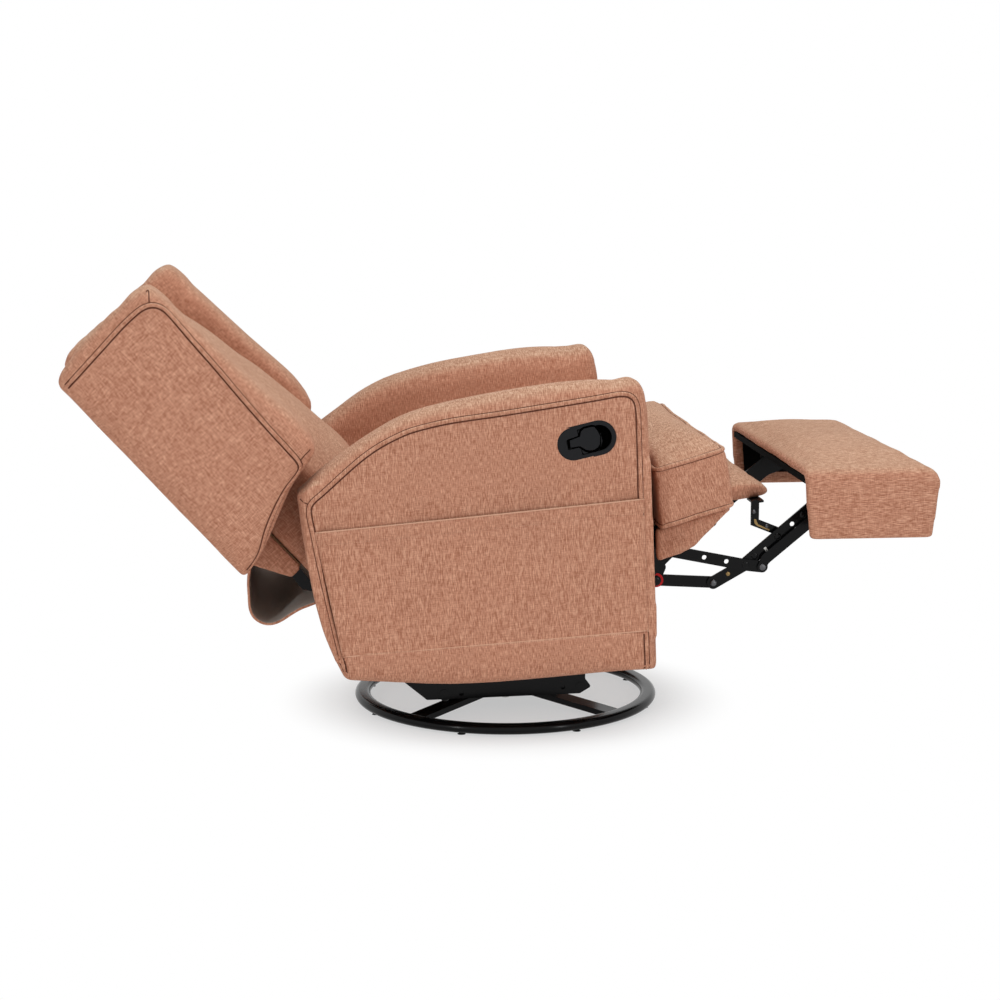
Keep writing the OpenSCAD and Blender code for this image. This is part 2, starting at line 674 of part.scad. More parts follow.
// The rear links stop short of their seat pivot, which is the loop's open one
module seat_links_rear() {
    color(black_steel) both_sides() {
        side_plate(seat_link_y, link_t) difference() {
            bar([seat_rear_pivot, seat_rear_end], link_w);
            holes([seat_rear_pivot], bore_d);
        }
        pin(seat_rear_end, seat_link_y - run_gap, seat_link_y, head_d);
    }
}
seat_len = ear_corner[0] - back_hinge[0] + seat_reach;
rail_rear = 28 - seat_len;
rail_front = in_seat(upper_pivot)[0] + 1.7 * link_w;
module seat_side_plates() {
    w = 0.65 * link_w;
    top = -soft_gap - link_t;
    color(black_steel) both_sides() difference() {
        side_plate(seat_plate_y, link_t) difference() {
            polygon([
                back_hinge + [-w, 0],
                back_hinge + [-w / 2, -0.9 * w],
                back_hinge + [w / 2, -0.9 * w],
                seat_front_end + [-4 * w, -1.6 * w],
                seat_front_end + [w, -w],
                lower_pivot + [w / 2, -w],
                upper_pivot + [0.9 * w, -0.6 * w],
                upper_pivot + [w, 0.6 * w],
                seat_point([rail_front - link_t, top]),
                seat_point([rail_rear + link_t, top]),
                seat_rear_end + [-w, 1.2 * w]
            ]);
            holes([back_hinge, lower_pivot, upper_pivot], pin_d);
            holes([(back_hinge + seat_front_end) / 2 + [0, w]], 2 * w);
        }
        for (p = [back_hinge, lower_pivot, upper_pivot])
            pin(p, seat_plate_y - cut, seat_plate_y + link_t + cut, pin_d);
    }
}
module seat_pins() {
    color(zinc) both_sides() {
        pin(back_hinge, short_y - run_gap, seat_plate_y + link_t, pin_d);
        pin(upper_pivot, upper_y - run_gap, seat_plate_y + link_t, pin_d);
        pin(upper_pivot, upper_y + link_t + run_gap, seat_plate_y, head_d);
        pin(lower_pivot, lower_y - run_gap, seat_plate_y + link_t, pin_d);
        pin(lower_pivot, lower_y + link_t + run_gap, seat_plate_y, head_d);
        pin(seat_front_end, seat_plate_y + link_t, seat_link_y + link_t + run_gap / 2, pin_d);
    }
}
rail_t = 32;
module seat_frame() {
    w = seat_plate_y;
    color(pine) on_seat() difference() {
        translate([rail_rear, -w, -soft_gap - rail_h])
            cube([rail_front - rail_rear, 2 * w, rail_h]);
        translate([rail_rear + rail_t, -w + rail_t, -soft_gap - rail_h - cut])
            cube([rail_front - rail_rear - 2 * rail_t, 2 * (w - rail_t), rail_h + 2 * cut]);
    }
}
// One flat zigzag spring: length l, n bends, each w wide, of wire t thick
function zigzag(l, n, w, t) = concat(
    [for (i = [0:n]) [i * l / n, (i % 2) * w]],
    [for (i = [n:-1:0]) [i * l / n, (i % 2) * w + t]]
);
spring_count = 5;
spring_wire = 3.5;
module seat_springs() {
    l = rail_front - rail_rear - 2 * rail_t;
    pitch = 2 * (seat_plate_y - rail_t) / spring_count;
    color(zinc) on_seat() for (i = [0:spring_count - 1])
        translate([rail_rear + rail_t, -seat_plate_y + rail_t + (i + 0.3) * pitch, -rail_h / 3])
            linear_extrude(spring_wire) polygon(zigzag(l, 15, 0.4 * pitch, 1.3 * spring_wire));
}
seat_half_w = body_plate_y - 5 * soft_gap;
// The ears' rear and front edges lean forwards on their way up
ear_rear_lean = 20;
ear_front_lean = 14;
module seat_cushion() {
    w = seat_half_w;
    plan = rounded([
        [-seat_len, -w], [0, -w], [0, -ear_half_w], [ear_len, -ear_half_w],
        [ear_len, ear_half_w], [0, ear_half_w], [0, w], [-seat_len, w]
    ], 9, 3);
    eye = [0.4 * ear_len, 0];
    edge = 9;
    function leaned(p, up) = let (x = p[0] / ear_len, ear = abs(p[1]) > w ? 1 - x : 0)
        [p[0] + up * (ear_rear_lean * ear + ear_front_lean * max(x, 0)), p[1]];
    side_shares = [[0.8, 0], [0, 0.05], [0.25, 0.15], [0.05, 0.5], [0.25, 0.85], [0, 0.95], [0.8, 1]];
    sides = [for (s = side_shares) [for (p = inset(plan, s[0] * edge))
        let (q = leaned(p, s[1])) [q[0], q[1], s[1] * seat_t]]];
    top_shares = [0.95, 0.87, 0.75, 0.6, 0.42, 0.22];
    crown = [for (s = top_shares) [for (p = inset(plan, edge)) let (q = eye + (leaned(p, 1) - eye) * s)
        [q[0], q[1], seat_t + seat_crown * (1 - pow(s, 5))]]];
    color(cloth) on_seat()
        loft(concat(sides, crown), [eye[0], eye[1], 0], [eye[0], eye[1], seat_t + seat_crown]);
}
// The apron's cheek and front band below the cushion, as shares of the ear's length
cheek_shares = [[-0.02, -0.005], [-0.12, -0.41], [0.18, -0.41], [0.41, -0.355], [0.62, -0.24],
    [0.79, -0.13], [0.96, -0.055], [0.98, -0.005]];
band_shares = [[0.34, -0.298], [0.41, -0.355], [0.61, -0.22], [0.75, -0.09], [0.93, -0.03],
    [0.95, -0.005], [0.69, -0.005], [0.51, -0.154]];
apron_half_w = foot_half_w - flange_t - 6;
cheek_t = 18;
module seat_apron() {
    inner = apron_half_w - cheek_t;
    color(cloth) on_seat() {
        both_sides() side_plate(inner, cheek_t) polygon(scaled_to(cheek_shares, ear_len, ear_len));
        side_plate(-inner, 2 * inner) polygon(scaled_to(band_shares, ear_len, ear_len));
    }
}

// Back
// Places along a bracket, from the hinge of the back up to the back frame's post
knee_step = [-74, 88];
bracket_bend = [50, -98];
bracket_low = -40;
bracket_high = 60;
module back_brackets() {
    knee = back_hinge + knee_step;
    bend = back_point(bracket_bend);
    foot = back_point([(frame_rear + frame_front) / 2, bracket_low]);
    top = back_point([(frame_rear + frame_front) / 2, bracket_high]);
    color(black_steel) both_sides() difference() {
        side_plate(short_y, link_t) difference() {
            bar([back_hinge, knee, bend, foot, top], link_w);
            holes([back_hinge], bore_d);
        }
        pin(back_hinge, short_y - cut, short_y + link_t + cut, bore_d);
    }
}
frame_rear = 40;
frame_front = 68;
frame_low = -66;
frame_top = 468;
module back_frame() {
    w = short_y;
    post = 40;
    color(pine) on_back() difference() {
        translate([frame_rear, -w, frame_low]) cube([frame_front - frame_rear, 2 * w, frame_top - frame_low]);
        translate([frame_rear - cut, -w + post, frame_low + post])
            cube([frame_front - frame_rear + 2 * cut, 2 * (w - post), frame_top - frame_low - 2 * post]);
    }
}
module back_springs() {
    post = 40;
    l = frame_top - frame_low - 2 * post;
    pitch = 2 * (short_y - post) / spring_count;
    color(zinc) on_back() for (i = [0:spring_count - 1])
        translate([(frame_rear + frame_front) / 2, -short_y + post + (i + 0.3) * pitch, frame_low + post])
            rotate([0, -90, 0]) linear_extrude(spring_wire)
                polygon(zigzag(l, 15, 0.4 * pitch, 1.3 * spring_wire));
}
back_half_w = seat_half_w;
module back_outer_panel() {
    low = frame_low - 6;
    color(cloth) on_back() {
        side_plate(-back_half_w, 2 * back_half_w)
            polygon([[1, 0], [frame_rear - soft_gap, low], [frame_rear - soft_gap, frame_top], [2, frame_top]]);
        both_sides() side_plate(short_y + link_t + soft_gap, back_half_w - short_y - link_t - soft_gap)
            polygon([[frame_rear - soft_gap, low], [frame_front, low], [frame_front, frame_top],
                [frame_rear - soft_gap, frame_top]]);
    }
}
cushion_rear = frame_front + 2 * soft_gap;
cushion_foot = -104;
roll_z = frame_top + 2 * soft_gap;
module back_cushion() {
    h = frame_top - cushion_foot;
    side_fall = 30;
    // Height share up the cushion, then the depth share of its front face there
    front_shares = [[0, 0.7], [0.02, 0.86], [0.06, 0.96], [0.2, 1], [0.4, 0.94], [0.6, 0.85], [0.8, 0.75], [0.93, 0.66], [1, 0.6]];
    low = cushion_low - cushion_rear;
    rings = [for (s = front_shares) let (
        depth = low * s[1],
        w = back_half_w - 8 * pow(abs(2 * s[0] - 1), 6)
    ) [for (i = [24:-1:0]) let (a = 90 - 180 * i / 24)
        [cushion_rear + depth * pow(max(cos(a), 0), 0.3) - side_fall * pow(abs(sin(a)), 1.4) * max(cos(a), 0),
            w * sign(sin(a)) * pow(abs(sin(a)), 0.7), cushion_foot + h * s[0]]]];
    mid = cushion_rear + low / 2;
    color(cloth) on_back() loft([for (r = rings) r], [mid, 0, cushion_foot], [mid - low / 6, 0, frame_top]);
}
roll_shares = [[0.02, 0], [1, 0], [0.98, 0.2], [0.86, 0.55], [0.66, 0.86], [0.44, 1], [0.22, 0.98], [0.07, 0.75], [0, 0.4]];
module head_roll() {
    top = scaled_to(roll_shares, 0.66 * cushion_high, 50);
    color(cloth) on_back() slab([for (p = top) p + [0, roll_z]], [0.33 * cushion_high, roll_z + 22],
        -back_half_w, back_half_w, 20, 4);
}
// The wing's outline, as shares of its depth and length from its foot
wing_foot_shares = [[0, 0], [0.14, 0.018], [0.32, 0.052], [0.63, 0.125], [0.86, 0.151], [0.93, 0.179]];
wing_front_shares = [[0.975, 0.225], [0.99, 0.3], [0.975, 0.4], [0.945, 0.55], [0.925, 0.7],
    [0.908, 0.82], [0.885, 0.9], [0.83, 0.96]];
wing_top_shares = [[0.75, 0.988], [0.575, 1], [0.23, 0.988], [0.066, 0.964], [0.004, 0.936]];
wing_outline = concat(
    curve(scaled_to(wing_foot_shares, wing_w, wing_l), 2),
    curve(scaled_to(wing_front_shares, wing_w, wing_l), 2),
    scaled_to(wing_top_shares, wing_w, wing_l)
);
module wing() {
    color(cloth) on_back() slab(wing_outline, [wing_w / 2, wing_l / 2],
        back_half_w + soft_gap, wing_outer, wing_round);
}
module wing_right() { mirror([0, 1, 0]) wing(); }
module wing_left() { wing(); }

// Footrest linkage, one link of each kind on each side
module footrest_upper_links() {
    color(black_steel) both_sides() {
        difference() {
            side_plate(upper_y, link_t) difference() {
                bar([upper_pivot, long_mid, upper_end], link_w);
                holes([upper_pivot], bore_d);
                holes([upper_pivot + 0.48 * (long_mid - upper_pivot), upper_pivot + 0.76 * (long_mid - upper_pivot)], pin_d);
            }
        }
        pin(long_mid, long_y - run_gap, upper_y, pin_d);
        pin(upper_end, upper_y + link_t, short_y + link_t + run_gap, pin_d);
    }
}
module footrest_long_links() {
    hole_shares = [0.13, 0.43, 0.62, 0.76];
    color(black_steel) both_sides() {
        side_plate(long_y, link_t) difference() {
            bar([long_end, long_mid, footrest_pivot], long_link_w);
            holes([long_mid], bore_d);
            holes([for (s = hole_shares) long_mid + s * (footrest_pivot - long_mid)], pin_d);
        }
        pin(footrest_pivot, long_y + link_t, upper_y + link_t + run_gap, pin_d);
        pin(footrest_pivot, long_y - head_h, long_y, head_d);
    }
}
// The lower links stop beside the long links, at the loop's open pivot
module footrest_lower_links() {
    color(black_steel) both_sides() {
        side_plate(lower_y, link_t) difference() {
            bar([lower_pivot, long_end], link_w);
            holes([lower_pivot], bore_d);
        }
        pin(long_end, lower_y + link_t, long_y - run_gap, head_d);
        pin(long_end, lower_y - head_h, lower_y, head_d);
        pin(bushing_place, lower_y + link_t, upper_y - head_h, 2 * pin_d);
        side_plate(lower_y, link_t) bar([bushing_place, torque_tube_place], 0.8 * link_w);
    }
}
torque_tube_place = [272, 306];
torque_tube_w = 16;
module torque_tube() {
    w = torque_tube_w / 2;
    color(black_steel) difference() {
        translate([torque_tube_place[0] - w, -lower_y, torque_tube_place[1] - w])
            cube([2 * w, 2 * lower_y, 2 * w]);
        translate([torque_tube_place[0] - w + head_h, -lower_y - cut, torque_tube_place[1] - w + head_h])
            cube([2 * (w - head_h), 2 * (lower_y + cut), 2 * (w - head_h)]);
    }
}
bushing_place = lower_pivot + 0.26 * (long_end - lower_pivot);
module link_bushings() {
    color(red_plastic) both_sides() difference() {
        pin(bushing_place, lower_y + link_t, upper_y - 2 * head_h, 3 * pin_d);
        pin(bushing_place, lower_y, upper_y, 2 * pin_d);
    }
}
module footrest_short_links() {
    color(black_steel) both_sides() {
        side_plate(short_y, link_t) difference() {
            bar([upper_end, short_end], link_w - 2 * link_gap);
            holes([upper_end], bore_d);
        }
        pin(short_end, upper_y + link_t + run_gap, short_y, head_d);
    }
}
mid_pad_place = [443, 443];
mid_pad_slope = 8;
mid_pad_l = 80;
bracket_root = long_mid + 0.46 * (footrest_pivot - long_mid) + [-4, 5];
module middle_pad_brackets() {
    foot = mid_pad_place + [8, -mid_t / 2 - link_t / 2];
    elbow = foot - [0, 1.7 * link_w];
    color(black_steel) both_sides() {
        side_plate(bracket_y, link_t) bar([bracket_root, elbow, foot - [0, link_t / 2]], 0.7 * link_w);
        pin(bracket_root, bracket_y + link_t, long_y, pin_d);
        in_mid_pad() translate([0, mid_half_w - link_w, -mid_t / 2 - link_t])
            cube([link_w, bracket_y + link_t - mid_half_w + link_w, link_t]);
    }
}
module in_mid_pad() {
    translate([mid_pad_place[0], 0, mid_pad_place[1]]) rotate([0, -mid_pad_slope, 0]) children();
}
module middle_pad() {
    color(cloth) in_mid_pad() slab(rounded([
        [-mid_pad_l / 2, -mid_t / 2], [mid_pad_l / 2, -mid_t / 2], [mid_pad_l / 2, mid_t / 2], [-mid_pad_l / 2, mid_t / 2]
    ], mid_t / 2.4), [0, 0], -mid_half_w, mid_half_w, mid_t / 4, 3);
}
board_top = footrest_corner[1] - foot_pad_t;
module footrest_brackets() {
    color(black_steel) both_sides() {
        difference() {
            union() {
                side_plate(upper_y, link_t) {
                    bar([footrest_pivot, short_end], link_w);
                    polygon([
                        footrest_pivot - [0.45 * link_w, 0],
                        short_end + [link_w, 0],
                        [short_end[0] + link_w, board_top - board_t],
                        [footrest_pivot[0] - 0.45 * link_w, board_top - board_t]
                    ]);
                }
                translate([footrest_pivot[0] - link_w / 2, upper_y - link_w, board_top - board_t - link_t])
                    cube([norm(short_end - footrest_pivot) + 1.4 * link_w, link_w, link_t]);
            }
            pin(footrest_pivot, upper_y - cut, upper_y + link_t + cut, bore_d);
        }
    }
}
module footrest_board() {
    w = foot_half_w - flange_t - 2 * soft_gap;
    color(black_steel) translate([footrest_corner[0] + 4, -w, board_top - board_t])
        cube([foot_pad_l - flange_t - 4 - soft_gap, 2 * w, board_t]);
}
module footrest_pad() {
    big = 32;
    small = 12;
    x0 = footrest_corner[0];
    z1 = footrest_corner[1];
    color(cloth) difference() {
        intersection() {
            side_plate(-foot_half_w, 2 * foot_half_w) polygon(concat(
                [[x0 + small, z1 - flange_h], [x0 + foot_pad_l - small, z1 - flange_h]],
                rounded_corner([x0 + foot_pad_l, z1], big, 0),
                [for (k = [8:-1:1]) [x0 + small + k / 10 * (foot_pad_l - small),
                    z1 + foot_crown * (1 - pow(k / 4.5 - 1, 4))]],
                rounded_corner([x0, z1], small, 90)
            ));
            translate([x0 - cut, 0, 0]) rotate([90, 0, 90]) linear_extrude(foot_pad_l + 2 * cut)
                polygon(concat(
                    [[-foot_half_w, z1 - flange_h], [foot_half_w, z1 - flange_h]],
                    rounded_corner([foot_half_w, z1], 0.7 * big, 0),
                    [for (k = [8:-1:-8]) [k / 10 * foot_half_w, z1 + foot_crown * (1 - pow(k / 9, 4))]],
                    rounded_corner([-foot_half_w, z1], 0.7 * big, 90)
                ));
        }
        translate([x0 - cut, -foot_half_w + flange_t, z1 - flange_h - cut])
            cube([foot_pad_l - flange_t + cut, 2 * (foot_half_w - flange_t), flange_h - foot_pad_t + cut + soft_gap]);
    }
}
// An outer corner at p, turned into an arc that starts at angle a
function rounded_corner(p, r, a) = let (c = p - r * [sign(cos(a + 45)), sign(sin(a + 45))])
    [for (k = [0:6]) c + r * [cos(a + 15 * k), sin(a + 15 * k)]];

// Rear curtain, a loop of cloth between the back and the rear panel
curtain_top = back_point([0, -3.5]);
curtain_fold = [-487, 212];
curtain_seam = [-382, 268];
curtain_break = 3.05;
module curtain(points) {
    color(cloth) side_plate(-curtain_half_w, 2 * curtain_half_w) strip(points, curtain_t);
}
module curtain_upper() {
    bow = [-14, 4];
    curtain(curve([curtain_top, (curtain_top + curtain_fold) / 2 + bow, curtain_fold + [0, curtain_break]], 4));
}
module curtain_lower() {
    bow = [6, -10];
    curtain(curve([curtain_fold + [curtain_break, 0], (curtain_seam + curtain_fold) / 2 + bow, curtain_seam], 4));
}

base_ring();
floor_pads();
hub_plate();
king_bolt();
lower_race();
bearing_balls();
upper_race();
turntable_plate();
cradle_side_plates();
cradle_cross_bars();
glide_links_rear();
glide_links_front();
glide_hangers();
body_cross_tubes();
recliner_side_plates();
arm_right();
arm_left();
pocket_right();
pocket_left();
rear_panel();
handle_bezel();
pull_lever();
seat_links_front();
seat_links_rear();
seat_side_plates();
seat_pins();
seat_frame();
seat_springs();
seat_cushion();
seat_apron();
back_brackets();
back_frame();
back_springs();
back_outer_panel();
back_cushion();
head_roll();
wing_right();
wing_left();
footrest_upper_links();
footrest_long_links();
footrest_lower_links();
footrest_short_links();
torque_tube();
link_bushings();
middle_pad_brackets();
middle_pad();
footrest_brackets();
footrest_board();
footrest_pad();
curtain_upper();
curtain_lower();
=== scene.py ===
"""Looks of the swivel glider recliner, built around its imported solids. Lengths are in metres."""

import math

import bpy
import numpy as np
from mathutils import Matrix, Vector
from mathutils.bvhtree import BVHTree


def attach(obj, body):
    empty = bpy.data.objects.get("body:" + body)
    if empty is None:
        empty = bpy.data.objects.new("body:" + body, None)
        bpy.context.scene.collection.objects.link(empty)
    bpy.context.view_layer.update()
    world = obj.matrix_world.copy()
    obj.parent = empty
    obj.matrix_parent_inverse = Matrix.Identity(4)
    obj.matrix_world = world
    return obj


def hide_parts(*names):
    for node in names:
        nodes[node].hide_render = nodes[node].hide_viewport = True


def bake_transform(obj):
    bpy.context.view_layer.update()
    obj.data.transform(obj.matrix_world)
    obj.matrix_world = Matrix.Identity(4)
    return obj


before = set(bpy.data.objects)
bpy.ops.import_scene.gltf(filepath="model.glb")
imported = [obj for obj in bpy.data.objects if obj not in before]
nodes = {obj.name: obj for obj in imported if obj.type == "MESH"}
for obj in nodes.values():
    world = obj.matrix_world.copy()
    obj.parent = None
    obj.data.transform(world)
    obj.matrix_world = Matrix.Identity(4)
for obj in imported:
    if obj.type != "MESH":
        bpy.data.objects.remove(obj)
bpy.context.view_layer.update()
scene = bpy.context.scene
MM = 0.001

# Frames of the tilted parts: where each starts in the side plane, and its pitch in degrees
BODY_FRAME = ((0.0, 0.0), 3.5)
SEAT_FRAME = ((0.250, 0.394), 16.8)
BACK_FRAME = ((-0.499, 0.329), 42.3)
LEVEL_FRAME = ((0.0, 0.0), 0.0)
PAD_FRAME = ((0.443, 0.443), 8.0)
HANDLE_FRAME = ((0.10846, 0.56815), 13.0)
SIDES = ((-1, "right"), (1, "left"))
BACK_HALF = 0.2595  # Half the width that the arms and wings leave for the cushions
WELT_STEP, MITRE_STEP = 0.007, 0.003


def turn_of(pitch):
    """Cosine and sine of a pitch in degrees"""
    return math.cos(math.radians(pitch)), math.sin(math.radians(pitch))


def placed(points, own_frame, y):
    """Points in millimetres on a tilted part's own side plane, placed on the chair"""
    (x0, z0), pitch = own_frame
    c, s = turn_of(pitch)
    return [
        Vector((x0 + (a * c - b * s) * MM, y, z0 + (b * c + a * s) * MM)) for a, b in points
    ]


def own_plane(co, own_frame):
    """How far along and up a tilted part's own side plane each place is"""
    (x0, z0), pitch = own_frame
    c, s = turn_of(pitch)
    x, z = co[:, 0] - x0, co[:, 2] - z0
    return x * c + z * s, z * c - x * s


def slide(co, own_frame, along, up):
    """Moves places along and up a tilted part's own side plane"""
    c, s = turn_of(own_frame[1])
    co[:, 0] += along * c - up * s
    co[:, 2] += along * s + up * c


def lengths_along(line):
    """The line's length up to each of its points"""
    return np.concatenate([[0], np.cumsum([(b - a).length for a, b in zip(line, line[1:])])])


def spot_at(length, lengths, co):
    """The row of co at a length along its line, between its points too"""
    return Vector([np.interp(length, lengths, co[:, k]) for k in range(3)])


def smooth_line(points, step):
    """A smooth line through the points, cut into steps of about the given length"""
    p = [Vector(q) for q in points]
    fine = []
    for i in range(len(p) - 1):
        a, b, c, d = p[max(i - 1, 0)], p[i], p[i + 1], p[min(i + 2, len(p) - 1)]
        for k in range(12):
            t = k / 12
            square, cube = 2 * a - 5 * b + 4 * c - d, 3 * b - a - 3 * c + d
            fine.append((2 * b + (c - a) * t + square * t * t + cube * t**3) / 2)
    fine.append(p[-1])
    lengths = lengths_along(fine)
    count = max(2, round(lengths[-1] / step) + 1)
    co = np.array(fine)
    return [spot_at(s, lengths, co) for s in np.linspace(0, lengths[-1], count)]


# Shader maths


class Value:
    """A socket of a node tree, for use in Python arithmetic"""

    def __init__(self, shader, socket):
        self.shader, self.socket = shader, socket

    def _math(self, operation, *others):
        values = dict(enumerate((self, *others)))
        return self.shader.node("ShaderNodeMath", {"operation": operation}, values)

    def __add__(self, other):
        return self._math("ADD", other)

    def __mul__(self, other):
        return self._math("MULTIPLY", other)

    def __pow__(self, other):
        return self._math("POWER", other)

    def __rsub__(self, other):
        return self.shader.node("ShaderNodeMath", {"operation": "SUBTRACT"}, {0: other, 1: self})

    __radd__ = __add__
    __rmul__ = __mul__

    def larger(self, other):
        return self._math("MAXIMUM", other)

    def absolute(self):
        return self._math("ABSOLUTE")

    def sine(self):
        return self._math("SINE")

    def between(self, low, high):
        """From 0 at low to 1 at high, with soft ends"""
        return self.shader.node(
            "ShaderNodeMapRange",
            {"interpolation_type": "SMOOTHSTEP"},
            {"Value": self, "From Min": low, "From Max": high},
        )


class Nodes:
    """The node tree of a material or a world"""

    def __init__(self, tree):
        self.tree = tree

    def put(self, socket, value):
        if isinstance(value, Value):
            self.tree.links.new(value.socket, socket)
        else:
            socket.default_value = value

    def node(self, kind, settings=None, values=None, out=0):
        made = self.tree.nodes.new(kind)
        for name, value in (settings or {}).items():
            if name == "stops":
                ramp = made.color_ramp.elements
                while len(ramp) < len(value):
                    ramp.new(0.5)
                for stop, (position, color) in zip(ramp, value):
                    stop.position, stop.color = position, (*color, 1)
            else:
                setattr(made, name, value)
        for name, value in (values or {}).items():
            self.put(made.inputs[name], value)
        return Value(self, made.outputs[out])

    def noise(self, vector, scale, detail=2.0, roughness=0.5):
        values = {"Vector": vector, "Scale": scale, "Detail": detail, "Roughness": roughness}
        return self.node("ShaderNodeTexNoise", None, values)

    def mix(self, share, a, b):
        """Colour a, going over to colour b"""
        values = {
            0: share,
            6: a if isinstance(a, Value) else (*a, 1),
            7: b if isinstance(b, Value) else (*b, 1),
        }
        return self.node("ShaderNodeMix", {"data_type": "RGBA"}, values, 2)

    def stretched(self, vector, factors):
        values = {0: vector, 1: factors}
        return self.node("ShaderNodeVectorMath", {"operation": "MULTIPLY"}, values)

    def length(self, vector):
        return self.node("ShaderNodeVectorMath", {"operation": "LENGTH"}, {0: vector}, "Value")

    def bump(self, height, distance, strength=1.0):
        values = {"Height": height, "Distance": distance, "Strength": strength}
        return self.node("ShaderNodeBump", None, values)

    def own_place(self):
        return self.node("ShaderNodeTexCoord", out="Object")

    def backdrop(self):
        """1 for what sees the backdrop: the camera, reflections and clear pieces"""
        kinds = ("Is Camera Ray", "Is Glossy Ray", "Is Transmission Ray")
        camera, glossy, clear = (self.node("ShaderNodeLightPath", out=kind) for kind in kinds)
        return camera.larger(glossy).larger(clear)


class Shader(Nodes):
    """A material with one principled surface"""

    def __init__(self, name, color, roughness, **constants):
        self.material = bpy.data.materials.new(name)
        self.material.use_nodes = True
        super().__init__(self.material.node_tree)
        self.surface = self.tree.nodes["Principled BSDF"]
        self.output = self.tree.nodes["Material Output"]
        self.feed(Base_Color=(*color, 1), Roughness=roughness, **constants)

    def feed(self, **values):
        for name, value in values.items():
            self.put(self.surface.inputs[name.replace("_", " ")], value)


def upright(shader, pitch, output):
    """The object's own place or normal, turned so that its threads stand upright"""
    source = shader.node("ShaderNodeTexCoord", out=output)
    kind = "POINT" if output == "Object" else "VECTOR"
    return shader.node(
        "ShaderNodeMapping",
        {"vector_type": kind},
        {"Vector": source, "Rotation": (0, math.radians(pitch), 0)},
    )


THREAD_DARK = (0.395, 0.158, 0.093)
THREAD_MID = (0.565, 0.262, 0.166)
THREAD_LIGHT = (0.76, 0.42, 0.285)
# Colour of the painted shade in crevices and folds
CREVICE_SHADE_PAINT = (0.24, 0.082, 0.036)
TOP_LIGHT_PAINT = (1.03, 1.25, 1.29)  # Painted light: how much lighter the cloth is painted on upward faces, as shares of its colour
ACROSS, ALONG = 900, 95  # Unevenness of a thread per metre across and along it


def woven(name, pitch, cross=0.26):
    """Fine linen-like cloth, with its warp upright on a part of the given pitch, painted lighter on
    upward faces and darker in crevices as light and shade
    """
    s = Shader(name, THREAD_MID, 0.9, Sheen_Weight=0.12, Sheen_Roughness=0.4)
    s.feed(Specular_IOR_Level=0.15, Sheen_Tint=(1.0, 0.84, 0.66, 1))
    place = upright(s, pitch, "Object")
    facing = upright(s, pitch, "Normal")
    front = s.node("ShaderNodeSeparateXYZ", None, {0: facing}).absolute()
    front = front.between(0.55, 0.85)
    warp_side = s.noise(s.stretched(place, (ACROSS, ALONG, ALONG)), 1.0, 1.0)
    warp_front = s.noise(s.stretched(place, (ALONG, ACROSS, ALONG)), 1.0, 1.0)
    warp = warp_side * (1 - front) + warp_front * front
    weft = s.noise(s.stretched(place, (ALONG, ALONG, ACROSS)), 1.0, 1.0)
    fluff = s.noise(place, 1500.0, 1.0)
    patch = s.noise(place, 7.0, 2.0)
    yarn = warp * (0.88 - cross) + weft * cross + fluff * 0.12
    stops = [(0.365, THREAD_DARK), (0.5, THREAD_MID), (0.64, THREAD_LIGHT)]
    color = s.node("ShaderNodeValToRGB", {"stops": stops}, {"Fac": yarn})
    darker = s.stretched(color, (0.90, 0.90, 0.90))
    color = s.mix(patch.between(0.35, 0.7) * 0.35, color, darker)
    # Painted light: upward faces get a lighter, paler colour, as if lit from above
    normal = s.node("ShaderNodeTexCoord", out="Normal")
    upward = s.node("ShaderNodeSeparateXYZ", None, {0: normal}, 2).between(0.25, 0.95)
    color = s.mix(upward, color, s.stretched(color, TOP_LIGHT_PAINT))
    # Painted shade: the cloth goes over to dark brown where ambient occlusion finds it closed in
    open_air = s.node("ShaderNodeAmbientOcclusion", {"samples": 6}, {"Distance": 0.07}, "AO")
    crevice_shade_share = open_air.between(0.70, 0.05)
    color = s.mix(crevice_shade_share * 0.7, color, CREVICE_SHADE_PAINT)
    s.feed(Base_Color=color, Roughness=0.84 + yarn * 0.14)
    s.feed(Normal=s.bump(yarn, 0.0010, 0.7))
    return s.material


def enamel(name, color=(0.0032, 0.0032, 0.0036)):
    """Glossy black paint on steel"""
    s = Shader(name, color, 0.2, Specular_IOR_Level=0.14)
    place = s.own_place()
    cloud = s.noise(place, 22.0, 3.0)
    peel = s.noise(place, 420.0, 1.5)
    rub = s.noise(place, 130.0, 4.0, 0.7).between(0.66, 0.8)
    edge = s.node("ShaderNodeNewGeometry", out="Pointiness").between(0.53, 0.62)
    worn = edge * rub
    s.feed(Base_Color=s.mix(worn * 0.55, color, (0.09, 0.088, 0.085)))
    s.feed(Roughness=0.1 + cloud * 0.14 + worn * 0.3)
    s.feed(Normal=s.bump(peel, 0.00002, 0.5))
    return s.material


def moulded(name, color, roughness, gloss=0.15):
    """Moulded plastic with a fine spark grain"""
    s = Shader(name, color, roughness, Specular_IOR_Level=gloss)
    place = s.own_place()
    grain = s.noise(place, 2300.0, 2.0)
    cloud = s.noise(place, 30.0, 2.0)
    lighter = tuple(c * 1.5 for c in color)
    s.feed(Base_Color=s.mix(cloud * 0.5 + grain * 0.3, color, lighter))
    s.feed(Roughness=roughness - 0.06 + grain * 0.14)
    s.feed(Normal=s.bump(grain, 0.00012, 0.6))
    return s.material


def plated(name, color, roughness):
    """Bare or zinc-plated steel, with faint drawing lines and cloudy passivation"""
    s = Shader(name, color, roughness, Metallic=1.0)
    place = s.own_place()
    lines = s.noise(s.stretched(place, (90, 1500, 90)), 1.0, 2.0)
    cloud = s.noise(place, 60.0, 3.0)
    dull = tuple(c * 0.62 for c in color)
    s.feed(Base_Color=s.mix(cloud.between(0.4, 0.75) * 0.7, color, dull))
    s.feed(Roughness=roughness - 0.1 + lines * 0.16 + cloud * 0.1)
    s.feed(Normal=s.bump(lines, 0.00008, 0.5))
    return s.material


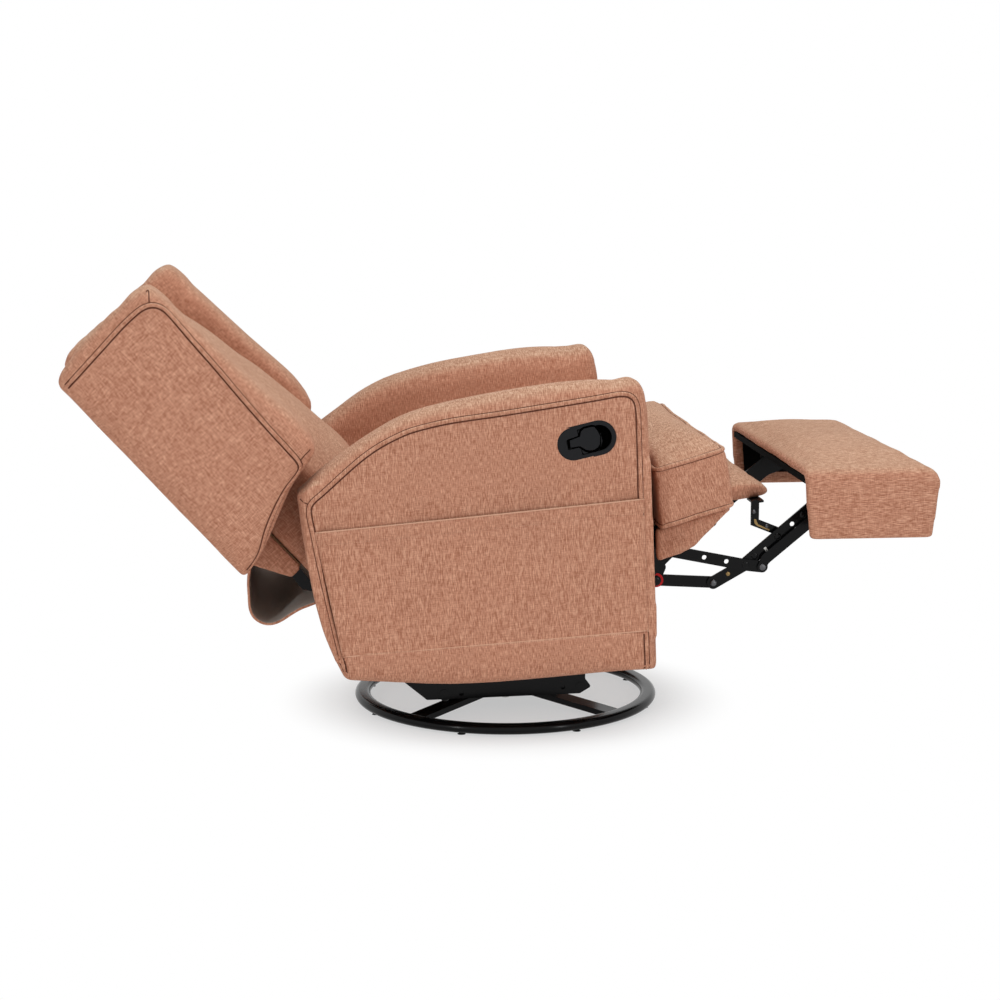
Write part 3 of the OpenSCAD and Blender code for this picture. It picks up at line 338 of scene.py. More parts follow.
def sawn_pine(name):
    """Planed softwood with growth rings along X"""
    s = Shader(name, (0.58, 0.39, 0.19), 0.62)
    place = s.own_place()
    drift = s.noise(s.stretched(place, (3, 22, 22)), 1.0, 3.0)
    parts = s.stretched(place, (2, 90, 90))
    across = s.length(parts)
    ring = (across + drift * 9).sine() * 0.5 + 0.5
    fibre = s.noise(s.stretched(place, (40, 900, 900)), 1.0, 2.0)
    wood = s.mix(ring**3, (0.62, 0.43, 0.22), (0.40, 0.22, 0.09))
    s.feed(Base_Color=s.mix(fibre * 0.3, wood, (0.50, 0.32, 0.15)))
    s.feed(Roughness=0.55 + fibre * 0.2, Normal=s.bump(fibre, 0.0003, 0.5))
    return s.material


def lining_cloth(name):
    """Thin grey backing cloth"""
    s = Shader(name, (0.30, 0.29, 0.28), 0.9, Specular_IOR_Level=0.2)
    place = s.own_place()
    mat = s.noise(place, 900.0, 2.0)
    cloud = s.noise(place, 12.0, 2.0)
    s.feed(Base_Color=s.mix(mat * 0.6 + cloud * 0.3, (0.62, 0.60, 0.56), (0.34, 0.33, 0.30)))
    s.feed(Roughness=0.85 + mat * 0.1, Normal=s.bump(mat, 0.0004, 0.6))
    return s.material


def thread_and_seam_shade(name, color, dark, light, scale, roughness, gloss):
    """A thread-like colour: sewing thread, and also the painted shade down in a seam's crease between
    two edges of cloth
    """
    s = Shader(name, color, roughness + 0.05, Specular_IOR_Level=gloss)
    twist = s.noise(s.own_place(), scale, 2.0)
    s.feed(Base_Color=s.mix(twist, dark, light), Roughness=roughness + twist * 0.09)
    return s.material


cloth = {
    "body": woven("cloth_of_body", BODY_FRAME[1]),
    "seat": woven("cloth_of_seat", SEAT_FRAME[1]),
    "back": woven("cloth_of_back", BACK_FRAME[1], 0.42),
    "footrest": woven("cloth_of_footrest", 90.0),
    "pad": woven("cloth_of_middle_pad", PAD_FRAME[1]),
}
# Colours of the painted shade in the seams' creases
SEAM_SHADE_DARK, SEAM_SHADE_MID, SEAM_SHADE_LIGHT = (0.05, 0.016, 0.011), (0.10, 0.034, 0.022), (0.19, 0.075, 0.048)
shade = thread_and_seam_shade("seam_shade", SEAM_SHADE_MID, SEAM_SHADE_DARK, SEAM_SHADE_LIGHT, 700.0, 0.9, 0.1)
PALE_DARK, PALE_MID, PALE_LIGHT = (0.60, 0.31, 0.20), (0.70, 0.40, 0.27), (0.82, 0.52, 0.37)
# Pale thread for stitches and bartacks; on the pocket's fold ridges it is also a painted highlight
thread = thread_and_seam_shade("pale_thread_and_ridge_highlight", PALE_MID, PALE_DARK, PALE_LIGHT, 900.0, 0.8, 0.2)
paint = enamel("black_enamel")
board_black = moulded("black_board", (0.0022, 0.0022, 0.0022), 0.9, 0.05)
# Pitch black without gloss: painted shade for the handle's cup and the groove round its lever
painted_cup_shade = moulded("cup_shade", (0.0006, 0.0006, 0.0006), 0.95, 0.0)
plastic = moulded("handle_plastic", (0.0075, 0.0078, 0.009), 0.42)
foot_plastic = moulded("foot_plastic", (0.02, 0.02, 0.02), 0.6)
red = moulded("bushing_plastic", (0.50, 0.012, 0.014), 0.35)
zinc = plated("zinc_plate", (0.60, 0.59, 0.56), 0.38)
yellow_zinc = plated("yellow_zinc", (0.30, 0.20, 0.085), 0.42)
dark_zinc = plated("dark_zinc", (0.11, 0.11, 0.115), 0.36)
pine = sawn_pine("frame_pine")
lining = lining_cloth("curtain_lining")

BEARING = ("king_bolt", "lower_race", "upper_race", "bearing_balls")
FINISHES = [
    (foot_plastic, ("floor_pads",)),
    (zinc, (*BEARING, "seat_pins", "seat_springs", "back_springs")),
    (plastic, ("handle_bezel", "pull_lever")),
    (pine, ("seat_frame", "back_frame")),
    (red, ("link_bushings",)),
    (board_black, ("footrest_board",)),
]
for name, node in nodes.items():
    finish = next((material for material, names in FINISHES if name in names), paint)
    node.data.materials.clear()
    node.data.materials.append(finish)


# Mesh tools


def add_mesh(name, points, faces, material, smooth=True):
    mesh = bpy.data.meshes.new(name)
    mesh.from_pydata([tuple(p) for p in points], [], faces)
    mesh.materials.append(material)
    mesh.polygons.foreach_set("use_smooth", [smooth] * len(mesh.polygons))
    mesh.update()
    piece = bpy.data.objects.new(name, mesh)
    scene.collection.objects.link(piece)
    return piece


def settled(piece):
    """Applies the piece's modifiers to its mesh"""
    bpy.context.view_layer.update()
    deps = bpy.context.evaluated_depsgraph_get()
    mesh = bpy.data.meshes.new_from_object(piece.evaluated_get(deps))
    piece.modifiers.clear()
    piece.data = mesh
    return piece


def places(piece):
    co = np.empty(len(piece.data.vertices) * 3)
    piece.data.vertices.foreach_get("co", co)
    return co.reshape(-1, 3)


def set_places(piece, co):
    piece.data.vertices.foreach_set("co", np.asarray(co, float).ravel())
    piece.data.update()


def facings(piece):
    n = np.empty(len(piece.data.vertices) * 3)
    piece.data.vertices.foreach_get("normal", n)
    return n.reshape(-1, 3)


def soft_step(x, low, high):
    """From 0 at low to 1 at high, with soft ends"""
    t = np.clip((x - low) / (high - low), 0, 1)
    return t * t * (3 - 2 * t)


def skin_of(node, name, material, voxel, rounds, mirrored=False):
    """A closed skin over a solid, even enough to be blown up and sewn"""
    piece = bpy.data.objects.new(name, nodes[node].data.copy())
    scene.collection.objects.link(piece)
    if mirrored:
        piece.data.transform(Matrix.Scale(-1, 4, (0, 1, 0)))
        piece.data.flip_normals()
    even = piece.modifiers.new("even", "REMESH")
    even.mode, even.voxel_size = "VOXEL", voxel
    relax = piece.modifiers.new("relax", "SMOOTH")
    relax.factor, relax.iterations = 0.5, rounds
    settled(piece)
    piece.data.materials.clear()
    piece.data.materials.append(material)
    return piece


def drawn_out(piece, own_frame, centre, heading, half_angle, share):
    """Draws a rounded corner of a side outline out to a sewn point. centre is in millimetres."""
    co = places(piece)
    along, up = own_plane(co, own_frame)
    a, b = along / MM - centre[0], up / MM - centre[1]
    turn = np.abs(np.degrees(np.arctan2(b, a)) - heading)
    grow = share * np.clip(1 - turn / half_angle, 0, 1) ** 1.25
    slide(co, own_frame, a * grow * MM, b * grow * MM)
    set_places(piece, co)


def blown(piece, allowed, cap, pressure=4.0, frames=20):
    """Blows the skin up under pressure

    allowed is a share for each point, and cap the farthest that one moves.
    """
    rest = places(piece)
    held = piece.vertex_groups.new(name="held")
    for share, low, high in ((1.0, -1.0, 0.02), (0.6, 0.02, 0.35)):
        some = np.nonzero((allowed >= low) & (allowed < high))[0]
        held.add([int(i) for i in some], share, "REPLACE")
    sewn = piece.modifiers.new("sewn", "CLOTH")
    settings = {
        "use_pressure": True,
        "uniform_pressure_force": pressure,
        "vertex_group_mass": "held",
        "quality": 4,
        "mass": 0.3,
        "tension_stiffness": 18,
        "compression_stiffness": 12,
        "bending_stiffness": 0.4,
    }
    for name, value in settings.items():
        setattr(sewn.settings, name, value)
    sewn.settings.effector_weights.gravity = 0
    sewn.collision_settings.use_collision = False
    sewn.point_cache.frame_start, sewn.point_cache.frame_end = 1, frames
    for step in range(1, frames + 1):
        scene.frame_set(step)
    deps = bpy.context.evaluated_depsgraph_get()
    full = places(piece.evaluated_get(deps))
    piece.modifiers.clear()
    piece.vertex_groups.clear()
    scene.frame_set(1)
    move = full - rest
    length = np.linalg.norm(move, axis=1, keepdims=True)
    soft_cap = cap * np.tanh(length / cap)
    move *= soft_cap / np.maximum(length, 1e-9)
    set_places(piece, rest + move * allowed[:, None])
    return piece


def finer(piece):
    """Divides the skin's faces once and smooths them"""
    divided = piece.modifiers.new("finer", "SUBSURF")
    divided.levels = divided.render_levels = 1
    settled(piece)
    piece.data.polygons.foreach_set("use_smooth", [True] * len(piece.data.polygons))
    return piece


def nearest(co, line):
    """How far each point is from a line of points, worked out in shares that fit in memory"""
    line = np.array([tuple(p) for p in line])
    share = 8000
    far = [
        np.linalg.norm(co[start : start + share, None] - line[None], axis=2).min(1)
        for start in range(0, len(co), share)
    ]
    return np.concatenate(far)


def pressed(piece, line, width, depth):
    """Presses a seam's valley into the skin along a line"""
    co = places(piece)
    valley = depth * np.exp(-((nearest(co, line) / width) ** 2))
    set_places(piece, co - facings(piece) * valley[:, None])
    return piece


def rippled(piece, height, wave, seed, where=None):
    """Gives the skin slow uneven waves, as cloth over foam has"""
    rng = np.random.default_rng(seed)
    co = places(piece)
    total = np.zeros(len(co))
    for _ in range(7):
        direction = rng.normal(size=3)
        direction *= 2 * math.pi / (wave * rng.uniform(0.7, 1.6)) / np.linalg.norm(direction)
        total += np.sin(co @ direction + rng.uniform(0, 2 * math.pi))
    share = 1.0 if where is None else where
    set_places(piece, co + facings(piece) * (height * total / 2.6 * share)[:, None])
    return piece


def tree_of(piece):
    bpy.context.view_layer.update()
    return BVHTree.FromObject(piece, bpy.context.evaluated_depsgraph_get())


def laid(line, skin, away):
    """Moves a line onto the skin, seen from the side away, and gives the skin's normals"""
    on, normals = [], []
    away = Vector(away).normalized()
    for p in line:
        hit, normal, _, _ = skin.ray_cast(p + away * 0.12, -away, 0.3)
        if hit is None:
            hit, normal, _, _ = skin.find_nearest(p)
        on.append(hit)
        normals.append(normal)
    return on, normals


def settled_line(line, rounds=3):
    """Takes the jitter of the skin's facets out of a line of vectors"""
    co = np.array([tuple(p) for p in line])
    for _ in range(rounds):
        co[1:-1] = (co[:-2] + 2 * co[1:-1] + co[2:]) / 4
    return [Vector(p) for p in co]


def tube_faces(rings, around):
    """Faces between rings of points that follow each other"""
    faces = []
    for i in range(rings - 1):
        for k in range(around):
            a, b = i * around + k, i * around + (k + 1) % around
            faces.append((a, b, b + around, a + around))
    return faces


def closed_faces(rings, around):
    """Faces of a tube of rings with both its ends closed"""
    ends = [tuple(range(around))[::-1], tuple(range((rings - 1) * around, rings * around))]
    return tube_faces(rings, around) + ends


def flipped(faces):
    """The same faces, seen from the other side"""
    return [face[::-1] for face in faces]


def sheet_faces(wide, tall):
    """Faces of a grid of points in two layers, and then those of its rim"""
    row, total = wide + 1, (wide + 1) * (tall + 1)
    faces = []
    for a in (j * row + i for j in range(tall) for i in range(wide)):
        faces.append((a, a + 1, a + row + 1, a + row))
        faces.append((total + a, total + a + row, total + a + row + 1, total + a + 1))
    rim = [*range(wide), *(j * row + wide for j in range(tall))]
    rim += [*range(total - 1, total - row, -1), *(j * row for j in range(tall, 0, -1))]
    return faces + [(b, a, total + a, total + b) for a, b in zip(rim, rim[1:] + rim[:1])]


def cord_mesh(line, normals, half_width, height, sides=10, sunk=0.35):
    """Points and faces of a covered cord that lies on the skin along a line"""
    points = []
    n = len(line)
    for i, (p, up) in enumerate(zip(line, normals)):
        along = (line[min(i + 1, n - 1)] - line[max(i - 1, 0)]).normalized()
        side = along.cross(up).normalized()
        out = side.cross(along).normalized()
        taper = min(1.0, 0.35 + 0.65 * min(i, n - 1 - i) / 2)
        for k in range(sides):
            a = 2 * math.pi * k / sides
            wide, high = math.cos(a) * half_width, (math.sin(a) - sunk) * height
            points.append(p + side * wide * taper + out * high * taper)
    return points, closed_faces(n, sides)


def joined(parts):
    """One list of points and one of faces out of several"""
    points, faces = [], []
    for part_points, part_faces in parts:
        start = len(points)
        points += part_points
        faces += [tuple(start + i for i in f) for f in part_faces]
    return points, faces


def stitch_mesh(line, normals, pitch=0.0042, length=0.0028, width=0.0005):
    """Points and faces of a row of small thread stitches"""
    parts = []
    lengths = lengths_along(line)
    co, up = np.array([tuple(p) for p in line]), np.array([tuple(p) for p in normals])
    for s in np.arange(pitch, lengths[-1] - pitch, pitch):
        ends = [spot_at(s, lengths, co), spot_at(s + length, lengths, co)]
        normal = spot_at(s, lengths, up).normalized()
        along = (ends[1] - ends[0]).normalized()
        side = along.cross(normal).normalized() * width
        rise = normal * width * 0.8
        middle = (ends[0] + ends[1]) / 2
        points = [ends[0], middle + side, ends[1], middle - side, middle + rise]
        faces = [(0, 1, 4), (1, 2, 4), (2, 3, 4), (3, 0, 4), (3, 2, 1, 0)]
        parts.append((points, faces))
    return joined(parts)


def dress(piece, body, *replaced, fill=None, slot="upholstery"):
    """Puts a finished piece on its body, in the place of the solids named"""
    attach(piece, body)
    if replaced:
        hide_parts(*replaced)
    return piece


def crease_mesh(line, normals, skin, low, high, lift=0.0005, depth=0.0009):
    """Points and faces of a thin band on the skin, from low to high beside a line"""
    points = []
    n = len(line)
    for i, (p, up) in enumerate(zip(line, normals)):
        along = (line[min(i + 1, n - 1)] - line[max(i - 1, 0)]).normalized()
        side = along.cross(up).normalized()
        top = []
        for share in (0.0, 0.5, 1.0):
            spot, normal, _, _ = skin.find_nearest(p + side * (low + (high - low) * share))
            top.append(spot + normal * lift)
        points += top + [q - up.normalized() * depth for q in top[::-1]]
    return points, closed_faces(n, 6)


def sunk_seams(skin_piece, lines, away, width, depth):
    """Presses seams into the skin, and gives it with their lines and normals on it"""
    for line in lines:
        pressed(skin_piece, laid(line, tree_of(skin_piece), away)[0], width, depth)
    skin = tree_of(skin_piece)
    on_skin = [laid(line, skin, away) for line in lines]
    return skin, [(settled_line(on), settled_line(normals, 6)) for on, normals in on_skin]


def piped(name, skin_piece, line, away, body, material, half_width=0.0040, height=0.0030):
    """Lays a covered cord along a seam of the skin, with dark bands of painted shade in the seam's
    creases beside it
    """
    skin, ((on, normals),) = sunk_seams(skin_piece, [line], away, 0.0075, 0.0012)
    middle = sum(on, Vector()) / len(on)
    i = len(on) // 2
    inner = (on[i + 1] - on[i - 1]).cross(normals[i]).dot(middle - on[i]) > 0
    wide, fine = (0.0022, 0.0009) if inner else (0.0009, 0.0022)
    # Dark bands of painted shade in the seam's creases, wider on the side towards the seam's middle
    creases = [
        crease_mesh(on, normals, skin, half_width - 0.0008, half_width + wide),
        crease_mesh(on, normals, skin, -half_width - fine, 0.0008 - half_width),
    ]
    dress(add_mesh(name + "_seam", *joined(creases), shade), body)
    on = [p + n.normalized() * 0.0008 for p, n in zip(on, normals)]
    cord = cord_mesh(on, normals, half_width, height)
    return dress(add_mesh(name, *cord, material), body)


def seamed(name, skin_piece, lines, away, body, half_width=0.0009):
    """Presses plain seams into the skin, each with a dark band of painted shade along its crease"""
    skin, on_skin = sunk_seams(skin_piece, lines, away, 0.006, 0.001)
    parts = [crease_mesh(*line, skin, -half_width, half_width) for line in on_skin]
    return dress(add_mesh(name, *joined(parts), shade), body)


# Arms

ARM_WELT = [
    (-328, 150), (-341, 205), (-358, 280), (-372, 350), (-383, 410), (-389, 440), (-390, 456),
    (-383, 466), (-372, 474), (-343, 500), (-315, 525), (-288, 547), (-261, 565), (-232, 580),
    (-202, 592), (-136, 607), (-47, 619), (61, 635), (133, 646), (170, 652), (188, 650),
    (198, 640), (202, 622), (205, 560), (209, 459), (214, 360), (218, 274), (222, 200), (225, 140),
]
ARM_MITRE = [(-404, 468), (-397, 464), (-390, 460)]
POCKET_PLACES = [(-0.3210, 0.19816), (0.2386, 0.20088), (0.24308, 0.44783), (-0.35384, 0.43216)]
ARM_OUT = 0.375
POCKET_SINK = 0.0064
HEM_RISE = 0.026


def hem_height(along):
    """Height of the pocket's hem on the tilted body"""
    (x0, z0), (x1, z1) = POCKET_PLACES[3], POCKET_PLACES[2]
    return z0 + (along - x0) / (x1 - x0) * (z1 - z0)


def cup_ring(y, half_length=24, radius=29.8, count=48):
    """A ring of points round the handle's cup, a stadium on the slope of the handle"""
    turns = [2 * math.pi * (k + 0.5) / count for k in range(count)]
    ring = [
        (math.copysign(half_length, math.cos(a)) + radius * math.cos(a), radius * math.sin(a))
        for a in turns
    ]
    return placed(ring, HANDLE_FRAME, y)


for side, name in ((1, "arm_left"), (-1, "arm_right")):
    arm = skin_of("arm_left", name + "_padded", cloth["body"], 0.0075, 4, side < 0)
    drawn_out(arm, BODY_FRAME, (213, 613), 58, 44, 0.26)
    drawn_out(arm, BODY_FRAME, (-355, 484), 150, 40, 0.16)
    co = places(arm)
    along, up = own_plane(co, BODY_FRAME)
    outer = co[:, 1] * side > 0.352
    behind = outer & (along > -0.372) & (along < 0.262) & (up > 0.185) & (up < 0.52)
    co[behind, 1] = side * np.clip(co[behind, 1] * side, ARM_OUT - 0.0005, ARM_OUT)
    set_places(arm, co)
    open_side = soft_step(co[:, 1] * side, 0.300, 0.33)
    high = soft_step(co[:, 2], 0.45, 0.56)
    welt = smooth_line(placed(ARM_WELT, LEVEL_FRAME, side * ARM_OUT), WELT_STEP)
    seam = nearest(co, laid(welt, tree_of(arm), (0, side, 0))[0])
    allowed = np.maximum(open_side, high * 0.8) * soft_step(seam, 0.006, 0.05)
    allowed *= 1 - (along > 0.225) * (co[:, 1] * side < 0.34) * (co[:, 2] < 0.56)
    blown(arm, allowed * 0.9, 0.004, 2.5, 14)
    finer(arm)
    co = places(arm)
    along, up = own_plane(co, BODY_FRAME)
    outer = co[:, 1] * side > 0.355
    above = up - hem_height(along)
    x_share = soft_step(along, -0.352, -0.335) * (1 - soft_step(along, 0.228, 0.24))
    z_share = (1 - soft_step(above, 0.0, 0.05)) * soft_step(up, 0.199, 0.206)
    sink = POCKET_SINK * z_share * x_share
    co[:, 1] -= side * sink * outer
    set_places(arm, co)
    rippled(arm, 0.0006, 0.16, 3 + side, soft_step(nearest(co, welt), 0.004, 0.04))
    piped(name + "_piping", arm, welt, (0, side, 0), "carriage", cloth["body"])
    tick = smooth_line(placed(ARM_MITRE, LEVEL_FRAME, side * ARM_OUT), MITRE_STEP)
    seamed(name + "_mitre", arm, [tick], (0, side, 0), "carriage")
    if side < 0:
        points = cup_ring(-0.42) + cup_ring(-0.349)
        faces = flipped(closed_faces(2, len(points) // 2))
        cutter = add_mesh("cup_cut", points, faces, cloth["body"])
        hole = arm.modifiers.new("hole", "BOOLEAN")
        hole.object, hole.operation, hole.solver = cutter, "DIFFERENCE", "EXACT"
        settled(arm)
        bpy.data.objects.remove(cutter)
    dress(arm, "carriage", name, fill=0.85)

    # Its pocket: one panel with a folded hem on top and a fold along its foot
    wide, tall = 90, 44
    corners = placed([(x / MM, z / MM) for x, z in POCKET_PLACES], BODY_FRAME, side * ARM_OUT)
    points = []
    height = (corners[3] - corners[0]).length
    for layer in (0, 1):
        for j in range(tall + 1):
            v = j / tall
            for i in range(wide + 1):
                u = i / wide
                p = corners[0].lerp(corners[1], u).lerp(corners[3].lerp(corners[2], u), v)
                down = (1 - v) * height
                arch = math.sin(math.pi * u)
                belly = arch**0.6 * math.sin(math.pi * min(v * 1.1, 1)) ** 0.7
                slack = arch * soft_step(v, 0.55, 1.0) * 0.0022
                waves = 0.0005 * math.sin(11 * u + 3 * v) + 0.0004 * math.sin(23 * u - 5 * v + side)
                out = -0.0008 + 0.0012 * belly + slack + waves * belly
                hem_seam = math.exp(-(((down - HEM_RISE) / 0.002) ** 2))
                foot_fold = math.exp(-(((v * height - 0.0025) / 0.0028) ** 2))
                out += 0.0011 * (down < HEM_RISE) - 0.0007 * hem_seam + 0.0016 * foot_fold
                on_rim = j in (0, tall) or i in (0, wide)
                edge = layer * (0.0022 if on_rim else 0.0016)
                points.append(Vector((p.x, p.y + side * (out - edge), p.z)))
    faces = sheet_faces(wide, tall)
    if side > 0:
        faces = flipped(faces)
    pocket_name = name.replace("arm", "pocket")
    pocket = add_mesh(pocket_name + "_panel", points, faces, cloth["body"])
    dress(pocket, "carriage", pocket_name)
    skin = tree_of(pocket)
    # The hem's top edge and the foot fold are thin cords in the pale thread colour, lighter than the
    # cloth: a painted highlight where the folds catch the light
    ridges = []
    for ends, sink in (((corners[3], corners[2]), 0.0015), ((corners[0], corners[1]), -0.0020)):
        start, stop = (p + Vector((0, 0, -sink)) for p in ends)
        line = [start.lerp(stop, share) for share in np.linspace(0.004, 0.996, 80)]
        on, normals = laid(line, skin, (0, side, 0))
        ridges.append(cord_mesh(settled_line(on, 6), settled_line(normals, 8), 0.0012, 0.0011, 8))
    dress(add_mesh(pocket_name + "_ridges", *joined(ridges), thread), "carriage")
    tacks = []
    for u in (0.02, 0.2, 0.80, 0.98):
        top = corners[3].lerp(corners[2], u)
        line = [top + Vector((0, 0, -0.004 - 0.003 * k)) for k in range(9)]
        on, normals = laid(line, skin, (0, side, 0))
        on = [p + Vector((0, side * 0.0003, 0)) for p in on]
        tacks.append(stitch_mesh(on, normals, 0.0036, 0.0026, 0.0005))
    dress(add_mesh(pocket_name + "_bartacks", *joined(tacks), thread), "carriage")
    share = HEM_RISE / height
    start, stop = corners[3].lerp(corners[0], share), corners[2].lerp(corners[1], share)
    hem = [start.lerp(stop, share) for share in np.linspace(0.01, 0.99, 90)]
    on, normals = laid(hem, skin, (0, side, 0))
    on = [p + Vector((0, side * 0.0002, 0)) for p in on]
    dress(add_mesh(pocket_name + "_stitches", *stitch_mesh(on, normals), thread), "carriage")


# Wings and back

WING_WELT = [
    (7, 8), (42, 16), (81, 38), (120, 56), (157, 69), (190, 75), (204, 79), (210, 89), (211, 113),
    (212, 168), (215, 240), (219, 311), (221, 371), (223, 419), (223, 446), (219, 459), (211, 468),
    (200, 473), (185, 475), (151, 475), (102, 471), (53, 467), (5, 463),
]
WING_MITRES = [[(227, 494), (222, 484), (214, 475), (209, 468)], [(238, 92), (226, 92), (212, 90)]]
WING_OUT = 0.372
for side, name in ((1, "wing_left"), (-1, "wing_right")):
    wing = skin_of("wing_left", name + "_padded", cloth["back"], 0.0075, 3, side < 0)
    drawn_out(wing, BACK_FRAME, (150, 415), 47, 36, 0.20)
    drawn_out(wing, BACK_FRAME, (205, 115), -38, 45, 0.14)
    drawn_out(wing, BACK_FRAME, (24, 450), 122, 45, 0.10)
    co = places(wing)
    forward, _ = own_plane(co, BACK_FRAME)
    rearmost = (1 - soft_step(forward, 0.004, 0.05)) * soft_step(co[:, 1] * side, 0.31, 0.35)
    slide(co, BACK_FRAME, -0.009 * rearmost, 0)
    set_places(wing, co)
    open_side = soft_step(co[:, 1] * side, 0.335, 0.352)
    welt = smooth_line(placed(WING_WELT, BACK_FRAME, side * WING_OUT), WELT_STEP)
    seam = nearest(co, laid(welt, tree_of(wing), (0, side, 0))[0])
    blown(wing, open_side * soft_step(seam, 0.006, 0.05) * 0.9, 0.004, 2.5, 14)
    finer(wing)
    rippled(wing, 0.0006, 0.15, 11 + side, soft_step(nearest(places(wing), welt), 0.004, 0.04))
    piped(name + "_piping", wing, welt, (0, side, 0), "back", cloth["back"])
    mitres = [placed(line, BACK_FRAME, side * WING_OUT) for line in WING_MITRES]
    mitres = [smooth_line(line, MITRE_STEP) for line in mitres]
    seamed(name + "_mitres", wing, mitres, (0, side, 0), "back")
    dress(wing, "back", name, fill=0.85)

cushion = skin_of("back_cushion", "back_cushion_padded", cloth["back"], 0.009, 4)
co = places(cushion)
forward, upward = own_plane(co, BACK_FRAME)
allowed = soft_step(forward, 0.10, 0.16) * soft_step(upward, -0.06, 0.02)
allowed *= soft_step(BACK_HALF - np.abs(co[:, 1]), 0.004, 0.03)
blown(cushion, allowed * soft_step(0.468 - upward, 0.0, 0.03), 0.009, 4.0, 18)
finer(cushion)
rippled(cushion, 0.0012, 0.14, 21)
dress(cushion, "back", "back_cushion", fill=0.7)

roll = skin_of("head_roll", "head_roll_padded", cloth["back"], 0.008, 4)
co = places(roll)
_, upward = own_plane(co, BACK_FRAME)
slide(co, BACK_FRAME, 0, -0.014 * soft_step(upward, 0.44, 0.50))
set_places(roll, co)
allowed = soft_step(upward, 0.475, 0.50) * soft_step(BACK_HALF - np.abs(co[:, 1]), 0.002, 0.02)
blown(roll, allowed, 0.004, 3.0, 14)
finer(roll)
rippled(roll, 0.0008, 0.1, 22)
dress(roll, "back", "head_roll", fill=0.75)

shell = skin_of("back_outer_panel", "back_outer_panel_padded", cloth["back"], 0.006, 3)
blown(shell, np.full(len(shell.data.vertices), 0.01), 0.002, 1.0, 2)
finer(shell)
rippled(shell, 0.0006, 0.2, 23)
dress(shell, "back", "back_outer_panel", fill=0.9)


# Seat

seat = skin_of("seat_cushion", "seat_cushion_padded", cloth["seat"], 0.008, 4)
co = places(seat)
along, up = own_plane(co, SEAT_FRAME)
half = np.abs(co[:, 1])
top = soft_step(up, 0.112, 0.124)
ears = soft_step(along, 0.03, 0.06) * soft_step(up, 0.012, 0.04)
beside_arm = soft_step(BACK_HALF - half, 0.006, 0.035)
edge = np.where(along > 0.01, soft_step(0.34 - half, -0.01, 0.03), beside_arm)
allowed = top * np.maximum(edge, 0.25 * (along > 0.02)) + ears * 0.5
blown(seat, np.clip(allowed, 0, 1), 0.012, 4.0, 18)
finer(seat)
rippled(seat, 0.0009, 0.12, 31, soft_step(places(seat)[:, 0], -0.1, 0.1))


def seat_loop(up_mm):
    """The line round the cushion's T-shaped front, at a height on the seat's own frame"""
    share = up_mm / 113
    half_w, ear, rear = 340, 148 + 14 * share, 20 * share
    width = BACK_HALF / MM
    plan = [
        (rear - 2, -width - 6), (rear, -width - 20), (rear + 1, -half_w + 14), (rear + 12, -half_w),
        (40, -half_w), (90, -half_w), (ear - 20, -half_w), (ear - 4, -half_w + 6), (ear, -half_w + 22),
    ]
    mirrored = [(a, -y) for a, y in plan[::-1]]
    plan += [(ear, y) for y in range(-280, 281, 40)] + mirrored
    return smooth_line([placed([(a, up_mm)], SEAT_FRAME, y * MM)[0] for a, y in plan], 0.006)


def seat_piping(name, up_mm, tilt):
    """Lays the cord of the cushion's top or foot, turned up or down by tilt"""
    skin = tree_of(seat)
    hits = [skin.find_nearest(p) for p in seat_loop(up_mm)]
    on = settled_line([hit[0] for hit in hits], 3)
    normals = [(hit[1] + Vector((0, 0, tilt))).normalized() for hit in hits]
    pressed(seat, on, 0.0075, 0.0012)
    normals = settled_line(normals, 8)
    skin = tree_of(seat)
    # Dark bands of painted shade in the creases on both sides of the cord
    parts = [crease_mesh(on, normals, skin, side * 0.0041, side * 0.0058) for side in (-1, 1)]
    dress(add_mesh(name + "_seam", *joined(parts), shade), "seat")
    on = [p + n.normalized() * 0.0012 for p, n in zip(on, normals)]
    cord = cord_mesh(on, normals, 0.0043, 0.0040)
    return dress(add_mesh(name, *cord, cloth["seat"]), "seat")


seat_piping("seat_top_piping", 113, 0.6)
seat_piping("seat_foot_piping", 2, -0.4)
dress(seat, "seat", "seat_cushion", fill=0.8)

apron = skin_of("seat_apron", "seat_apron_padded", cloth["seat"], 0.005, 3)
finer(apron)
rippled(apron, 0.0009, 0.07, 33)
dress(apron, "seat", "seat_apron", fill=0.5)


# Footrest

pad = skin_of("footrest_pad", "footrest_pad_padded", cloth["footrest"], 0.0065, 3)
co = places(pad)
top = soft_step(co[:, 2], 0.505, 0.516)
allowed = top * soft_step(co[:, 0], 0.535, 0.58) * soft_step(0.775 - co[:, 0], 0.01, 0.04)
blown(pad, allowed * soft_step(0.341 - np.abs(co[:, 1]), 0.01, 0.05), 0.006, 3.0, 14)
finer(pad)
rippled(pad, 0.0008, 0.11, 41, soft_step(places(pad)[:, 2], 0.38, 0.46))
dress(pad, "footrest_board", "footrest_pad", fill=0.8)

middle = skin_of("middle_pad", "middle_pad_padded", cloth["pad"], 0.005, 3)
co = places(middle)
along, up = own_plane(co, PAD_FRAME)
thinner = 0.5 * np.clip(along / 0.04, 0, 1) ** 2 * (up + 0.012)
slide(co, PAD_FRAME, 0, -thinner)
set_places(middle, co)
blown(middle, np.full(len(co), 0.6), 0.003, 3.0, 12)
finer(middle)
rippled(middle, 0.0008, 0.08, 43)
dress(middle, "footrest_long_link", "middle_pad", fill=0.8)


# Rear panel and curtain

rear = skin_of("rear_panel", "rear_panel_padded", cloth["body"], 0.005, 2)
finer(rear)
rippled(rear, 0.0006, 0.15, 51)
dress(rear, "carriage", "rear_panel", fill=0.6)

